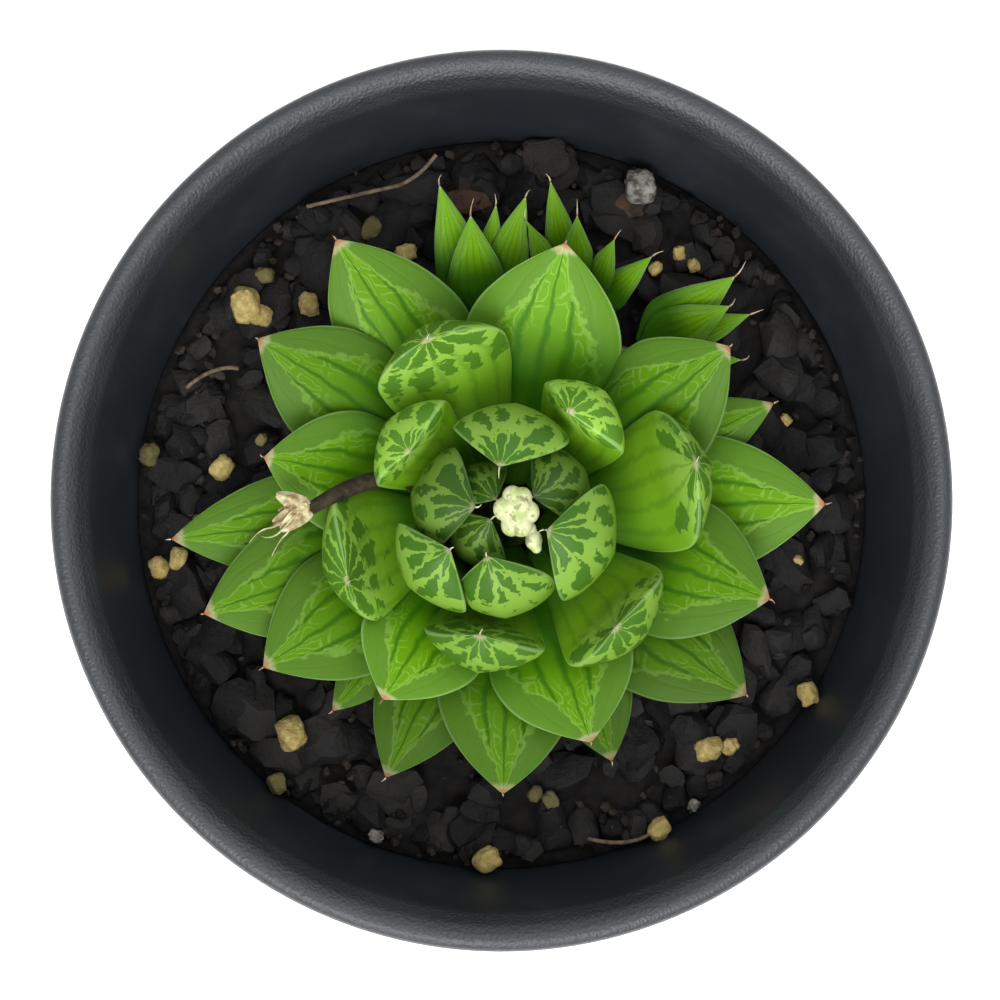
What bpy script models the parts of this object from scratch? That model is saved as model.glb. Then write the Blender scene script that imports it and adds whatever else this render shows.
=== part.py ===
"""Potted haworthia: a windowed rosette succulent with three offsets in a round nursery pot.

Blender 4.5, metres, +Z up. The origin is on the pot's axis, on the plane that the pot stands on.
"""

import math

import bmesh
import bpy
from mathutils import Vector
from mathutils.bvhtree import BVHTree

MM = 0.001

# Pot
RIM_RADIUS = 45.0 * MM
POT_HEIGHT = 78.0 * MM
LIP_INNER_RADIUS = 41.2 * MM  # where the lip turns down into the wall
LIP_DROP = 2.6 * MM  # from the lip's crest to that turn
WALL_TAPER = 0.19  # radius lost per unit of height
WALL_THICKNESS = 1.6 * MM
SKIRT_HEIGHT = 9.5 * MM  # the lip's outer band hangs this far below its crest
SKIRT_TAPER = 0.06
FLOOR_RAISE = 2.6 * MM
FLOOR_THICKNESS = 1.8 * MM
DRAIN_RADIUS = 5.0 * MM
SMALL_DRAIN_RADIUS = 1.8 * MM
SMALL_DRAIN_COUNT = 6
SMALL_DRAIN_RING = 18.0 * MM
NOTCH_WIDTH = 6.0 * MM
NOTCH_HEIGHT = 1.5 * MM
NOTCH_COUNT = 4
TURNED_STEPS = 48

# Planting
FIT_GAP = 0.3 * MM  # between neighbouring pieces
SOIL_LEVEL = 63.0 * MM
SOIL_EDGE_DROP = 0.8 * MM  # the surface sinks a little where it meets the wall
PLANT_CENTRE = Vector((0.65 * MM, -1.55 * MM, SOIL_LEVEL))

# Main stem: (radius, height above the soil) down its outer side, in millimetres
STEM_PROFILE = (
    (0.0, 11.4),
    (1.3, 11.0),
    (2.0, 9.6),
    (2.9, 6.0),
    (3.4, 1.0),
    (3.9, -4.0),
    (3.2, -8.0),
    (0.0, -10.0),
)
ROOT_COUNT = 5
ROOT_RADIUS = 1.5 * MM
ROOT_DEPTH = 34.0 * MM
ROOT_SPREAD = 15.0 * MM

# Leaf blades: half-width and thickness along the blade
LEAF_STATIONS = (0.0, 0.17, 0.36, 0.56, 0.75, 0.9)
# Where the face and the back have their points, as shares of the half-width
SECTION_SHARES = (-0.55, 0.0, 0.55)
# Where a blade is widest along its length, and how full it stays from there to the tip
CLOSED_FORM = (0.66, 1.9)
OPEN_FORM = (0.56, 2.1)
OFFSET_FORM = (0.34, 1.5)
BRACT_FORM = (0.45, 1.9)
BASE_WIDTH_SHARE = 0.24
BASE_DEPTH_SHARE = 0.3
ADAXIAL_SHARE = 0.32  # the part of the thickness that lies above the blade's middle line
KEEL = 0.35  # 0 is a round back, 1 a sharp keel
LEAF_CLEARANCE = 0.42 * MM
PRESS_ROUNDS = 90
PRESS_STEP = 0.965
PRESS_LEAST = 0.2
PRESS_REACH = 4.0 * MM  # no surface further away than this is looked at

# How far from the stem's axis the bases of each ring sit, in millimetres
INNER_BASE_RADIUS = 3.3
MIDDLE_BASE_RADIUS = 3.7
OUTER_BASE_RADIUS = 4.2
OFFSET_BASE_GAP = 1.0  # from an offset stem's side to the bases of its leaves
OFFSET_BELLY_SHARE = 0.55  # the belly's reach as a share of the tip's

# Rosette leaves, in millimetres and degrees anticlockwise from +X about the stem:
# (blade's direction, tip's direction, tip's reach, tip's height, belly's reach, belly's height, width,
#  thickness, height of the base on the stem)
INNER_LEAVES = (
    (84, 101, 4.4, 20.5, 12.2, 13.0, 11.6, 4.6, 8.3),
    (30, 32, 2.8, 18.2, 9.6, 12.0, 10.0, 4.0, 9.0),
    (168, 172, 3.2, 19.6, 10.8, 12.6, 10.6, 4.4, 8.2),
    (130, 133, 1.7, 17.4, 6.0, 12.4, 6.0, 3.0, 10.0),
    (224, 202, 1.8, 17.6, 6.6, 12.2, 8.0, 3.2, 9.8),
    (273, 244, 4.8, 20.0, 11.2, 12.6, 10.8, 4.4, 8.0),
    (340, 334, 4.1, 20.6, 12.8, 13.0, 12.2, 4.6, 8.2),
    (217, 213, 6.7, 20.2, 13.2, 12.4, 11.0, 4.4, 7.4),
)
MIDDLE_LEAVES = (
    (47, 59, 11.4, 18.6, 15.2, 9.4, 10.6, 5.0, 6.4),
    (112, 115, 18.8, 17.0, 17.6, 7.4, 14.0, 5.4, 5.4),
    (140, 149, 11.3, 18.2, 14.6, 9.2, 11.0, 5.0, 6.4),
    (190, 203, 17.1, 16.6, 17.4, 7.2, 14.0, 5.0, 5.4),
    (261, 257, 12.3, 17.2, 15.4, 8.6, 12.2, 5.0, 6.2),
    (318, 313, 15.4, 17.2, 17.4, 8.0, 13.2, 5.0, 5.8),
    (9, 15, 19.1, 17.0, 17.8, 7.2, 14.4, 5.4, 5.4),
)
OUTER_LEAVES = (
    (79, 78, 27.6, 14.0, 16.0, 5.4, 16.4, 4.8, 3.9),
    (119, 122, 32.8, 11.0, 18.0, 4.0, 14.4, 4.4, 3.0),
    (141, 145, 30.7, 12.0, 17.5, 4.8, 14.2, 4.4, 3.3),
    (163, 167, 25.0, 13.4, 15.0, 5.6, 13.0, 4.4, 4.1),
    (196, 198, 32.4, 9.0, 18.0, 3.2, 13.6, 4.0, 2.5),
    (180, 184, 34.6, 6.2, 17.0, 1.6, 11.4, 3.0, 1.2),
    (210, 212, 29.0, 10.8, 16.5, 4.2, 14.0, 4.2, 3.2),
    (234, 236, 22.3, 13.2, 13.6, 5.6, 13.6, 4.4, 4.2),
    (270, 269, 28.2, 9.2, 16.0, 3.4, 14.2, 4.2, 2.7),
    (246, 245, 29.6, 5.4, 16.0, 1.5, 11.6, 3.0, 1.2),
    (290, 290, 24.3, 11.8, 14.5, 4.8, 15.0, 4.4, 3.7),
    (322, 323, 30.4, 7.6, 17.0, 2.4, 13.8, 4.0, 2.0),
    (344, 342, 27.6, 11.8, 16.0, 4.8, 15.0, 4.4, 3.6),
    (5, 2, 32.4, 7.8, 17.5, 2.6, 14.6, 4.0, 2.2),
    (36, 37, 27.8, 13.2, 16.0, 5.2, 14.6, 4.4, 3.6),
    (300, 293, 27.4, 4.6, 15.5, 1.3, 10.2, 2.8, 1.1),
    (227, 228, 27.0, 4.2, 15.0, 1.2, 8.2, 2.6, 1.1),
    (22, 23, 29.8, 5.2, 16.0, 1.4, 8.8, 2.8, 1.1),
)

# Offsets: where each stands from the main stem, and its leaves:
# (direction, reach, height of the tip, belly's height, width, thickness, height of the base)
OFFSET_STEM_RADIUS = 1.35 * MM
OFFSET_STEM_TOP = 3.6 * MM
OFFSET_STEM_DEPTH = 7.0 * MM
OFFSETS = (
    (
        (-2.8, 19.0),
        (
            (106, 15.2, 9.0, 2.8, 5.6, 1.9, 1.3),
            (95, 11.4, 10.0, 3.8, 6.2, 2.2, 2.5),
            (71, 14.2, 9.2, 2.8, 5.4, 1.9, 1.3),
            (83, 13.0, 7.2, 1.8, 4.2, 1.6, 0.9),
        ),
    ),
    (
        (7.2, 20.6),
        (
            (119, 11.0, 7.4, 2.4, 3.8, 1.7, 1.2),
            (102, 13.8, 8.6, 2.6, 4.2, 1.8, 1.2),
            (91, 9.8, 9.8, 3.8, 4.6, 1.9, 2.4),
            (64, 8.4, 8.4, 2.8, 4.0, 1.7, 1.4),
            (38, 9.6, 7.6, 2.2, 3.8, 1.6, 1.0),
        ),
    ),
    (
        (11.8, 16.6),
        (
            (34, 13.6, 9.6, 3.4, 6.2, 1.9, 1.8),
            (23, 11.6, 10.0, 4.0, 6.0, 1.9, 2.6),
            (17, 13.6, 7.4, 2.2, 4.8, 1.7, 1.0),
            (-3, 12.2, 6.6, 1.8, 4.0, 1.6, 0.8),
        ),
    ),
)

# Flower parts, in millimetres from the main stem's axis and above the soil
FLOWER_STALK = ((0.0, 0.0, 11.8), (0.2, 0.0, 14.5), (0.6, 0.1, 16.8))
FLOWER_STALK_RADIUS = 0.85 * MM
BUD_CENTRE = (0.8, 0.1, 19.3)
BUD_RADII = (2.35, 2.6, 2.0)
SIDE_BUD_CENTRE = (2.5, -2.75, 18.3)
SIDE_BUD_RADII = (0.95, 1.35, 0.95)
OLD_STALK = ((-6.0, 2.2, 5.6), (-9.0, 3.5, 8.2), (-13.0, 3.7, 11.4), (-17.0, 2.1, 14.0), (-19.6, 0.4, 15.2))
OLD_STALK_RADIUS = 1.05 * MM
BRACT_SPINE = ((-20.1, 0.2, 15.3), (-21.8, -0.2, 15.5), (-24.0, -1.4, 14.9))
BRACT_DIRECTION = 190  # degrees
BRACT_WIDTH = 2.6 * MM
BRACT_DEPTH = 1.6 * MM

COLOURS = {
    "pot": ((0.018, 0.020, 0.023), 0.42),
    "soil": ((0.022, 0.016, 0.013), 0.9),
    "stem": ((0.16, 0.14, 0.05), 0.7),
    "leaf": ((0.10, 0.30, 0.035), 0.4),
    "leaf_window": ((0.08, 0.22, 0.06), 0.36),
    "offset_leaf": ((0.12, 0.33, 0.04), 0.42),
    "bud": ((0.72, 0.74, 0.42), 0.5),
    "dry": ((0.55, 0.47, 0.40), 0.8),
    "old_stalk": ((0.10, 0.08, 0.05), 0.7),
}


def clear_scene():
    for obj in list(bpy.data.objects):
        bpy.data.objects.remove(obj, do_unlink=True)


def new_collection(name):
    collection = bpy.data.collections.new(name)
    bpy.context.scene.collection.children.link(collection)
    return collection


def material(name):
    """A Principled material in the named colour, made once."""
    found = bpy.data.materials.get(name)
    if found:
        return found
    colour, roughness = COLOURS[name]
    made = bpy.data.materials.new(name)
    made.use_nodes = True
    shader = made.node_tree.nodes["Principled BSDF"]
    shader.inputs["Base Color"].default_value = (*colour, 1.0)
    shader.inputs["Roughness"].default_value = roughness
    shader.inputs["Metallic"].default_value = 0.0
    return made


def add_mesh(name, vertices, faces, collection, finish=None):
    mesh = bpy.data.meshes.new(name)
    mesh.from_pydata([tuple(v) for v in vertices], [], faces)
    mesh.validate()
    obj = bpy.data.objects.new(name, mesh)
    collection.objects.link(obj)
    if finish:
        mesh.materials.append(material(finish))
        mesh.shade_smooth()
        mesh.set_sharp_from_angle(angle=math.radians(35))
    return obj


def as_cutter(obj):
    obj.hide_render = True
    obj.display_type = "WIRE"
    return obj


def subtract(obj, cutter):
    cut = obj.modifiers.new(cutter.name, "BOOLEAN")
    cut.operation = "DIFFERENCE"
    cut.object = cutter


def unite(obj, other):
    join = obj.modifiers.new(other.name, "BOOLEAN")
    join.operation = "UNION"
    join.object = other


def turned(name, profile, collection, finish=None, steps=TURNED_STEPS):
    """A solid of revolution about its own Z, from (radius, height) points down its outer side."""
    count = len(profile)
    closed = [(i, (i + 1) % count) for i in range(count)]
    on_axis = profile[0][0] == 0.0 and profile[-1][0] == 0.0
    edges = closed[:-1] if on_axis else closed
    mesh = bpy.data.meshes.new(name)
    mesh.from_pydata([(r, 0.0, z) for r, z in profile], edges, [])
    obj = bpy.data.objects.new(name, mesh)
    collection.objects.link(obj)
    screw = obj.modifiers.new("turn", "SCREW")
    screw.axis = "Z"
    screw.steps = steps
    screw.render_steps = steps
    screw.use_merge_vertices = True
    screw.merge_threshold = 0.00001
    screw.use_smooth_shade = True
    if finish:
        mesh.materials.append(material(finish))
    return obj


def inner_wall_radius(z):
    top = POT_HEIGHT - LIP_DROP
    return LIP_INNER_RADIUS - (top - z) * WALL_TAPER


def pot_profile():
    """Down the lip's skirt, up behind it, down the outside of the wall, under the floor and up the inside."""
    crest = POT_HEIGHT
    lip = [
        (42.3 * MM, crest - 0.75 * MM),
        (43.2 * MM, crest - 0.12 * MM),
        (43.9 * MM, crest),
        (44.6 * MM, crest - 0.35 * MM),
        (RIM_RADIUS, crest - 1.5 * MM),
    ]
    skirt_end = crest - SKIRT_HEIGHT
    skirt_radius = RIM_RADIUS - (SKIRT_HEIGHT - 1.5 * MM) * SKIRT_TAPER
    skirt = [
        (skirt_radius, skirt_end),
        (skirt_radius - 1.3 * MM, skirt_end),
        (RIM_RADIUS - 1.5 * MM, crest - 2.6 * MM),
    ]
    outer_top = crest - 2.9 * MM
    outside = [
        (inner_wall_radius(outer_top) + WALL_THICKNESS, outer_top),
        (inner_wall_radius(0.0) + WALL_THICKNESS, 0.0),
        (inner_wall_radius(0.0) + 0.1 * MM, 0.0),
        (inner_wall_radius(0.0) + 0.1 * MM, FLOOR_RAISE),
        (DRAIN_RADIUS, FLOOR_RAISE),
    ]
    floor_top = FLOOR_RAISE + FLOOR_THICKNESS
    inside = [
        (DRAIN_RADIUS, floor_top),
        (inner_wall_radius(floor_top) - 2.0 * MM, floor_top),
        (inner_wall_radius(floor_top + 2.0 * MM), floor_top + 2.0 * MM),
        (LIP_INNER_RADIUS, crest - LIP_DROP),
    ]
    return lip + skirt + outside + inside


def make_pot(parts, cutters):
    pot = turned("pot", pot_profile(), parts, "pot")
    for i in range(SMALL_DRAIN_COUNT):
        turn = 2 * math.pi * i / SMALL_DRAIN_COUNT
        bpy.ops.mesh.primitive_cylinder_add(vertices=16, radius=SMALL_DRAIN_RADIUS, depth=8 * MM)
        drain = as_cutter(bpy.context.object)
        drain.name = f"cut_drain_{i + 1}"
        drain.location = (SMALL_DRAIN_RING * math.cos(turn), SMALL_DRAIN_RING * math.sin(turn), FLOOR_RAISE)
        move_to(drain, cutters)
        subtract(pot, drain)
    for i in range(NOTCH_COUNT):
        turn = math.pi / 4 + 2 * math.pi * i / NOTCH_COUNT
        bpy.ops.mesh.primitive_cube_add(size=1.0)
        notch = as_cutter(bpy.context.object)
        notch.name = f"cut_notch_{i + 1}"
        foot_radius = inner_wall_radius(0.0) + WALL_THICKNESS / 2
        notch.location = (foot_radius * math.cos(turn), foot_radius * math.sin(turn), 0.0)
        notch.rotation_euler = (0.0, 0.0, turn)
        notch.scale = (5 * MM, NOTCH_WIDTH, 2 * NOTCH_HEIGHT)
        move_to(notch, cutters)
        subtract(pot, notch)
    return pot


def move_to(obj, collection):
    for old in list(obj.users_collection):
        old.objects.unlink(obj)
    collection.objects.link(obj)


def stem_profile(grow=0.0):
    """The main stem's outline, or its socket's when grown by a gap."""
    outline = [(r * MM + (grow if r else 0.0), SOIL_LEVEL + z * MM) for r, z in STEM_PROFILE]
    outline[-1] = (0.0, outline[-1][1] - grow)
    return outline


def offset_profile(grow=0.0):
    top = SOIL_LEVEL + OFFSET_STEM_TOP
    return [
        (0.0, top),
        (0.7 * OFFSET_STEM_RADIUS + grow, top - 0.5 * MM),
        (OFFSET_STEM_RADIUS + grow, top - 2.0 * MM),
        (OFFSET_STEM_RADIUS + grow, SOIL_LEVEL - 0.6 * OFFSET_STEM_DEPTH),
        (0.0, SOIL_LEVEL - OFFSET_STEM_DEPTH - grow),
    ]


def tube(name, points, radii, collection, finish=None, resolution=2):
    """A round tube through the points, with its own radius at each, closed by welded caps."""
    curve = bpy.data.curves.new(name, "CURVE")
    curve.dimensions = "3D"
    curve.bevel_depth = 1.0
    curve.bevel_resolution = resolution
    curve.use_fill_caps = True
    spline = curve.splines.new("POLY")
    spline.points.add(len(points) - 1)
    for spot, at, radius in zip(spline.points, points, radii):
        spot.co = (*at, 1.0)
        spot.radius = radius
    guide = bpy.data.objects.new(name + "_guide", curve)
    collection.objects.link(guide)
    bpy.context.view_layer.update()
    graph = bpy.context.evaluated_depsgraph_get()
    mesh = bpy.data.meshes.new_from_object(guide.evaluated_get(graph))
    bpy.data.objects.remove(guide, do_unlink=True)
    shell = bmesh.new()
    shell.from_mesh(mesh)
    bmesh.ops.remove_doubles(shell, verts=shell.verts, dist=0.00001)
    bmesh.ops.recalc_face_normals(shell, faces=shell.faces)
    shell.to_mesh(mesh)
    shell.free()
    mesh.name = name
    obj = bpy.data.objects.new(name, mesh)
    collection.objects.link(obj)
    if finish:
        mesh.materials.clear()
        mesh.materials.append(material(finish))
        mesh.shade_smooth()
    return obj


def root_points(i):
    """One thick root: out from the stem's foot, then down."""
    turn = 2 * math.pi * (i + 0.3) / ROOT_COUNT
    out = Vector((math.cos(turn), math.sin(turn), 0.0))
    sway = Vector((-out.y, out.x, 0.0)) * (1 if i % 2 else -1)
    start = PLANT_CENTRE + out * 1.2 * MM - Vector((0.0, 0.0, 5.0 * MM))
    points = []
    for step in range(7):
        t = step / 6
        fall = Vector((0.0, 0.0, -ROOT_DEPTH * t**1.3))
        spread = out * ROOT_SPREAD * math.sin(t * 1.4)
        points.append(start + spread + sway * 2.5 * MM * math.sin(t * 4) + fall)
    return points


def root_radii(grow=0.0):
    return [ROOT_RADIUS * (1 - 0.62 * step / 6) + grow for step in range(7)]


def make_stems_and_soil(parts, cutters):
    stem = turned("main_stem", stem_profile(), parts, "stem", steps=16)
    stem.location = (PLANT_CENTRE.x, PLANT_CENTRE.y, 0.0)
    bottom = FLOOR_RAISE + FLOOR_THICKNESS + FIT_GAP
    soil_profile = [
        (0.0, SOIL_LEVEL),
        (inner_wall_radius(SOIL_LEVEL) - 6.0 * MM, SOIL_LEVEL),
        (inner_wall_radius(SOIL_LEVEL - SOIL_EDGE_DROP) - FIT_GAP, SOIL_LEVEL - SOIL_EDGE_DROP),
        (inner_wall_radius(bottom + 2.4 * MM) - FIT_GAP, bottom + 2.4 * MM),
        (inner_wall_radius(bottom) - 2.4 * MM - FIT_GAP, bottom),
        (0.0, bottom),
    ]
    soil = turned("soil", soil_profile, parts, "soil")
    socket = as_cutter(turned("cut_stem", stem_profile(FIT_GAP), cutters, steps=16))
    socket.location = stem.location
    subtract(soil, socket)
    for i in range(ROOT_COUNT):
        root = as_cutter(tube(f"join_root_{i + 1}", root_points(i), root_radii(), cutters))
        unite(stem, root)
        channel = as_cutter(
            tube(f"cut_root_{i + 1}", longer(root_points(i)), longer_radii(root_radii(FIT_GAP)), cutters)
        )
        subtract(soil, channel)
    stems = [stem]
    for i, (place, _) in enumerate(OFFSETS):
        at = offset_place(place)
        offset_stem = turned(f"offset_stem_{i + 1}", offset_profile(), parts, "stem", steps=12)
        offset_stem.location = (at.x, at.y, 0.0)
        hole = as_cutter(turned(f"cut_offset_{i + 1}", offset_profile(FIT_GAP), cutters, steps=12))
        hole.location = offset_stem.location
        subtract(soil, hole)
        stems.append(offset_stem)
    return stems


def longer(points):
    """The same path, with a gap's length more at its far end."""
    end = points[-1] + (points[-1] - points[-2]).normalized() * FIT_GAP
    return points + [end]


def longer_radii(radii):
    return radii + [radii[-1]]


def offset_place(place):
    return PLANT_CENTRE + Vector((place[0] * MM, place[1] * MM, 0.0))


def around(centre, turn_degrees, radius, height):
    turn = math.radians(turn_degrees)
    return centre + Vector((radius * math.cos(turn), radius * math.sin(turn), height)) * MM


def width_share(t, widest, fullness):
    """Half-width along a blade: a narrow base, the widest point, then an arched run to the tip."""
    if t < widest:
        return BASE_WIDTH_SHARE + (1 - BASE_WIDTH_SHARE) * (t / widest) ** 1.3
    return 1 - ((t - widest) / (1 - widest)) ** fullness


def depth_share(t, widest):
    """Thickness along a blade, fullest at the widest point."""
    if t < widest:
        return BASE_DEPTH_SHARE + (1 - BASE_DEPTH_SHARE) * t / widest
    return 1 - ((t - widest) / (1 - widest)) ** 2.2


def section(width, depth):
    """Eight (across, up) points round a blade: margin, three on the face, margin, three on the back."""
    points = [(-width / 2, 0.0)]
    for share in SECTION_SHARES:
        points.append((share * width / 2, depth * ADAXIAL_SHARE * (1 - share**2)))
    points.append((width / 2, 0.0))
    for share in reversed(SECTION_SHARES):
        round_back = 1 - share**2
        sharp_back = 1 - abs(share)
        back = (1 - KEEL) * round_back + KEEL * sharp_back
        points.append((share * width / 2, -depth * (1 - ADAXIAL_SHARE) * back))
    return points


class Blade:
    """One leaf: a middle line, and eight points round it at each station, which can draw in towards it."""

    def __init__(self, name, base, belly, tip, direction, size, form, finish):
        widest, fullness = form
        self.name = name
        self.finish = finish
        self.tip = tip
        turn = math.radians(direction)
        side_level = Vector((-math.sin(turn), math.cos(turn), 0.0))
        self.middle = []
        self.offsets = []
        for t in LEAF_STATIONS:
            spot = base * (1 - t) ** 2 + belly * 2 * t * (1 - t) + tip * t**2
            along = ((belly - base) * (1 - t) + (tip - belly) * t).normalized()
            up = along.cross(side_level).normalized()
            side = up.cross(along).normalized()
            width = size[0] * width_share(t, widest, fullness) * MM
            outline = section(width, size[1] * depth_share(t, widest) * MM)
            self.middle.append(spot)
            self.offsets.append([side * x + up * y for x, y in outline])
        self.draw = [[1.0] * 8 for _ in LEAF_STATIONS]

    def point(self, k, j):
        spot = self.middle[k] + self.offsets[k][j % 8] * self.draw[k][j % 8]
        spot.z = max(spot.z, SOIL_LEVEL + LEAF_CLEARANCE)
        return spot

    def points(self):
        return [self.point(k, j) for k in range(len(LEAF_STATIONS)) for j in range(8)] + [self.tip]

    def faces(self):
        rings = len(LEAF_STATIONS)
        made = [tuple(range(8))]
        for k in range(rings - 1):
            for j in range(8):
                a, b = k * 8 + j, k * 8 + (j + 1) % 8
                made.append((b, a, a + 8, b + 8))
        last = (rings - 1) * 8
        made += [(last + (j + 1) % 8, last + j, rings * 8) for j in range(8)]
        return made

    def samples(self):
        """Points over the surface, each with the stations that hold it."""
        found = []
        rings = len(LEAF_STATIONS)
        for k in range(rings):
            for j in range(8):
                here = self.point(k, j)
                beside = self.point(k, j + 1)
                found.append((here, ((k, j),)))
                found.append(((here + beside) / 2, ((k, j), (k, (j + 1) % 8))))
                beyond = self.point(k + 1, j) if k + 1 < rings else self.tip
                held = ((k, j), (k + 1, j)) if k + 1 < rings else ((k, j),)
                found.append(((here + beyond) / 2, held))
                if k + 1 < rings:
                    corners = ((k, j), (k, (j + 1) % 8), (k + 1, j), (k + 1, (j + 1) % 8))
                    centre = sum((self.point(a, b) for a, b in corners), Vector()) / 4
                    found.append((centre, corners))
        return found

    def tree(self):
        return BVHTree.FromPolygons([tuple(p) for p in self.points()], self.faces())

    def box(self):
        spots = self.points()
        low = Vector(min(p[i] for p in spots) for i in range(3))
        high = Vector(max(p[i] for p in spots) for i in range(3))
        return low, high


def boxes_meet(one, other):
    """True if two (low, high) boxes come within the clearance of each other."""
    near = [one[0][i] - LEAF_CLEARANCE < other[1][i] for i in range(3)]
    near += [other[0][i] - LEAF_CLEARANCE < one[1][i] for i in range(3)]
    return all(near)


def too_close(spot, tree):
    """True within the clearance of a surface, or inside it: a line going up first meets its far side."""
    near, _, _, distance = tree.find_nearest(spot, PRESS_REACH)
    if near is None:
        return False
    if distance < LEAF_CLEARANCE:
        return True
    exit_point, normal, _, _ = tree.ray_cast(spot, Vector((0.0, 0.0, 1.0)))
    return exit_point is not None and normal.z > 0


def object_tree(obj):
    """The surface of a finished piece, in world space, and its box."""
    graph = bpy.context.evaluated_depsgraph_get()
    mesh = obj.evaluated_get(graph).to_mesh()
    spots = [obj.matrix_world @ v.co for v in mesh.vertices]
    faces = [tuple(p.vertices) for p in mesh.polygons]
    low = Vector(min(p[i] for p in spots) for i in range(3))
    high = Vector(max(p[i] for p in spots) for i in range(3))
    return BVHTree.FromPolygons([tuple(p) for p in spots], faces), (low, high)


def press(blades, fixed):
    """Crowded leaves flatten against one another: wherever one is within the clearance of its neighbour,
    both draw in a little towards their own middle lines, until all are clear."""
    for _ in range(PRESS_ROUNDS):
        trees = [blade.tree() for blade in blades]
        boxes = [blade.box() for blade in blades]
        moved = 0
        for i, blade in enumerate(blades):
            rivals = [trees[j] for j in range(len(blades)) if j != i and boxes_meet(boxes[i], boxes[j])]
            rivals += [tree for tree, box in fixed if boxes_meet(boxes[i], box)]
            tight = set()
            for spot, held in blade.samples():
                if any(too_close(spot, tree) for tree in rivals):
                    tight.update(held)
            for k, j in tight:
                blade.draw[k][j] = max(PRESS_LEAST, blade.draw[k][j] * PRESS_STEP)
            moved += len(tight)
        if not moved:
            return


def ring_blades(rows, word, form, finish, stem_radius):
    """One ring of the rosette; stem_radius is how far out the bases sit, in millimetres."""
    blades = []
    for i, row in enumerate(rows):
        direction, tip_turn, reach, rise, belly_reach, belly_rise, width, depth, base_rise = row
        base = around(PLANT_CENTRE, direction, stem_radius, base_rise)
        belly = around(PLANT_CENTRE, direction, belly_reach, belly_rise)
        tip = around(PLANT_CENTRE, tip_turn, reach, rise)
        name = f"leaf_{word}_{i + 1:02d}"
        blades.append(Blade(name, base, belly, tip, direction, (width, depth), form, finish))
    return blades


def offset_blades():
    blades = []
    for i, (place, rows) in enumerate(OFFSETS):
        centre = offset_place(place)
        for j, (direction, reach, rise, belly_rise, width, depth, base_rise) in enumerate(rows):
            base = around(centre, direction, OFFSET_STEM_RADIUS / MM + OFFSET_BASE_GAP, base_rise)
            belly = around(centre, direction, OFFSET_BELLY_SHARE * reach, belly_rise)
            tip = around(centre, direction, reach, rise)
            name = f"leaf_offset_{i + 1}_{j + 1}"
            size = (width, depth)
            blades.append(Blade(name, base, belly, tip, direction, size, OFFSET_FORM, "offset_leaf"))
    return blades


def plant_point(spot):
    return PLANT_CENTRE + Vector(spot) * MM


def ellipsoid(name, centre, radii, parts, finish):
    ball = bmesh.new()
    bmesh.ops.create_icosphere(ball, subdivisions=2, radius=1.0)
    mesh = bpy.data.meshes.new(name)
    ball.to_mesh(mesh)
    ball.free()
    for vertex in mesh.vertices:
        vertex.co = plant_point(centre) + Vector(c * r for c, r in zip(vertex.co, radii)) * MM
    mesh.materials.append(material(finish))
    mesh.shade_smooth()
    obj = bpy.data.objects.new(name, mesh)
    parts.objects.link(obj)
    return obj


def make_flower_parts(parts):
    stalk_points = [plant_point(p) for p in FLOWER_STALK]
    flower_stalk = tube("flower_stalk", stalk_points, [FLOWER_STALK_RADIUS] * 3, parts, "bud")
    buds = ellipsoid("flower_bud_cluster", BUD_CENTRE, BUD_RADII, parts, "bud")
    side_bud = ellipsoid("flower_bud_side", SIDE_BUD_CENTRE, SIDE_BUD_RADII, parts, "bud")
    old_points = [plant_point(p) for p in OLD_STALK]
    old_stalk = tube("old_flower_stalk", old_points, [OLD_STALK_RADIUS] * len(old_points), parts, "old_stalk")
    return [flower_stalk, buds, side_bud, old_stalk]


def make_bract():
    """The papery remains of a flower at the old stalk's end."""
    base, belly, tip = (plant_point(p) for p in BRACT_SPINE)
    size = (BRACT_WIDTH / MM, BRACT_DEPTH / MM)
    return Blade("dried_bract", base, belly, tip, BRACT_DIRECTION, size, BRACT_FORM, "dry")


def main():
    clear_scene()
    parts = new_collection("potted_haworthia")
    cutters = new_collection("cutters")
    make_pot(parts, cutters)
    stems = make_stems_and_soil(parts, cutters)
    flower_parts = make_flower_parts(parts)
    bpy.context.view_layer.update()
    blades = ring_blades(INNER_LEAVES, "inner", CLOSED_FORM, "leaf_window", INNER_BASE_RADIUS)
    blades += ring_blades(MIDDLE_LEAVES, "middle", CLOSED_FORM, "leaf_window", MIDDLE_BASE_RADIUS)
    blades += ring_blades(OUTER_LEAVES, "outer", OPEN_FORM, "leaf", OUTER_BASE_RADIUS)
    blades += offset_blades()
    blades.append(make_bract())
    press(blades, [object_tree(obj) for obj in stems + flower_parts])
    for blade in blades:
        add_mesh(blade.name, blade.points(), blade.faces(), parts, blade.finish)
    cutters.hide_render = True


main()
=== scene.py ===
"""Looks of the potted haworthia: every visible surface, the floor, the light and the camera."""

import math
import random

import bmesh
import bpy
from mathutils import Euler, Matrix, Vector, noise
from mathutils.bvhtree import BVHTree


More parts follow.
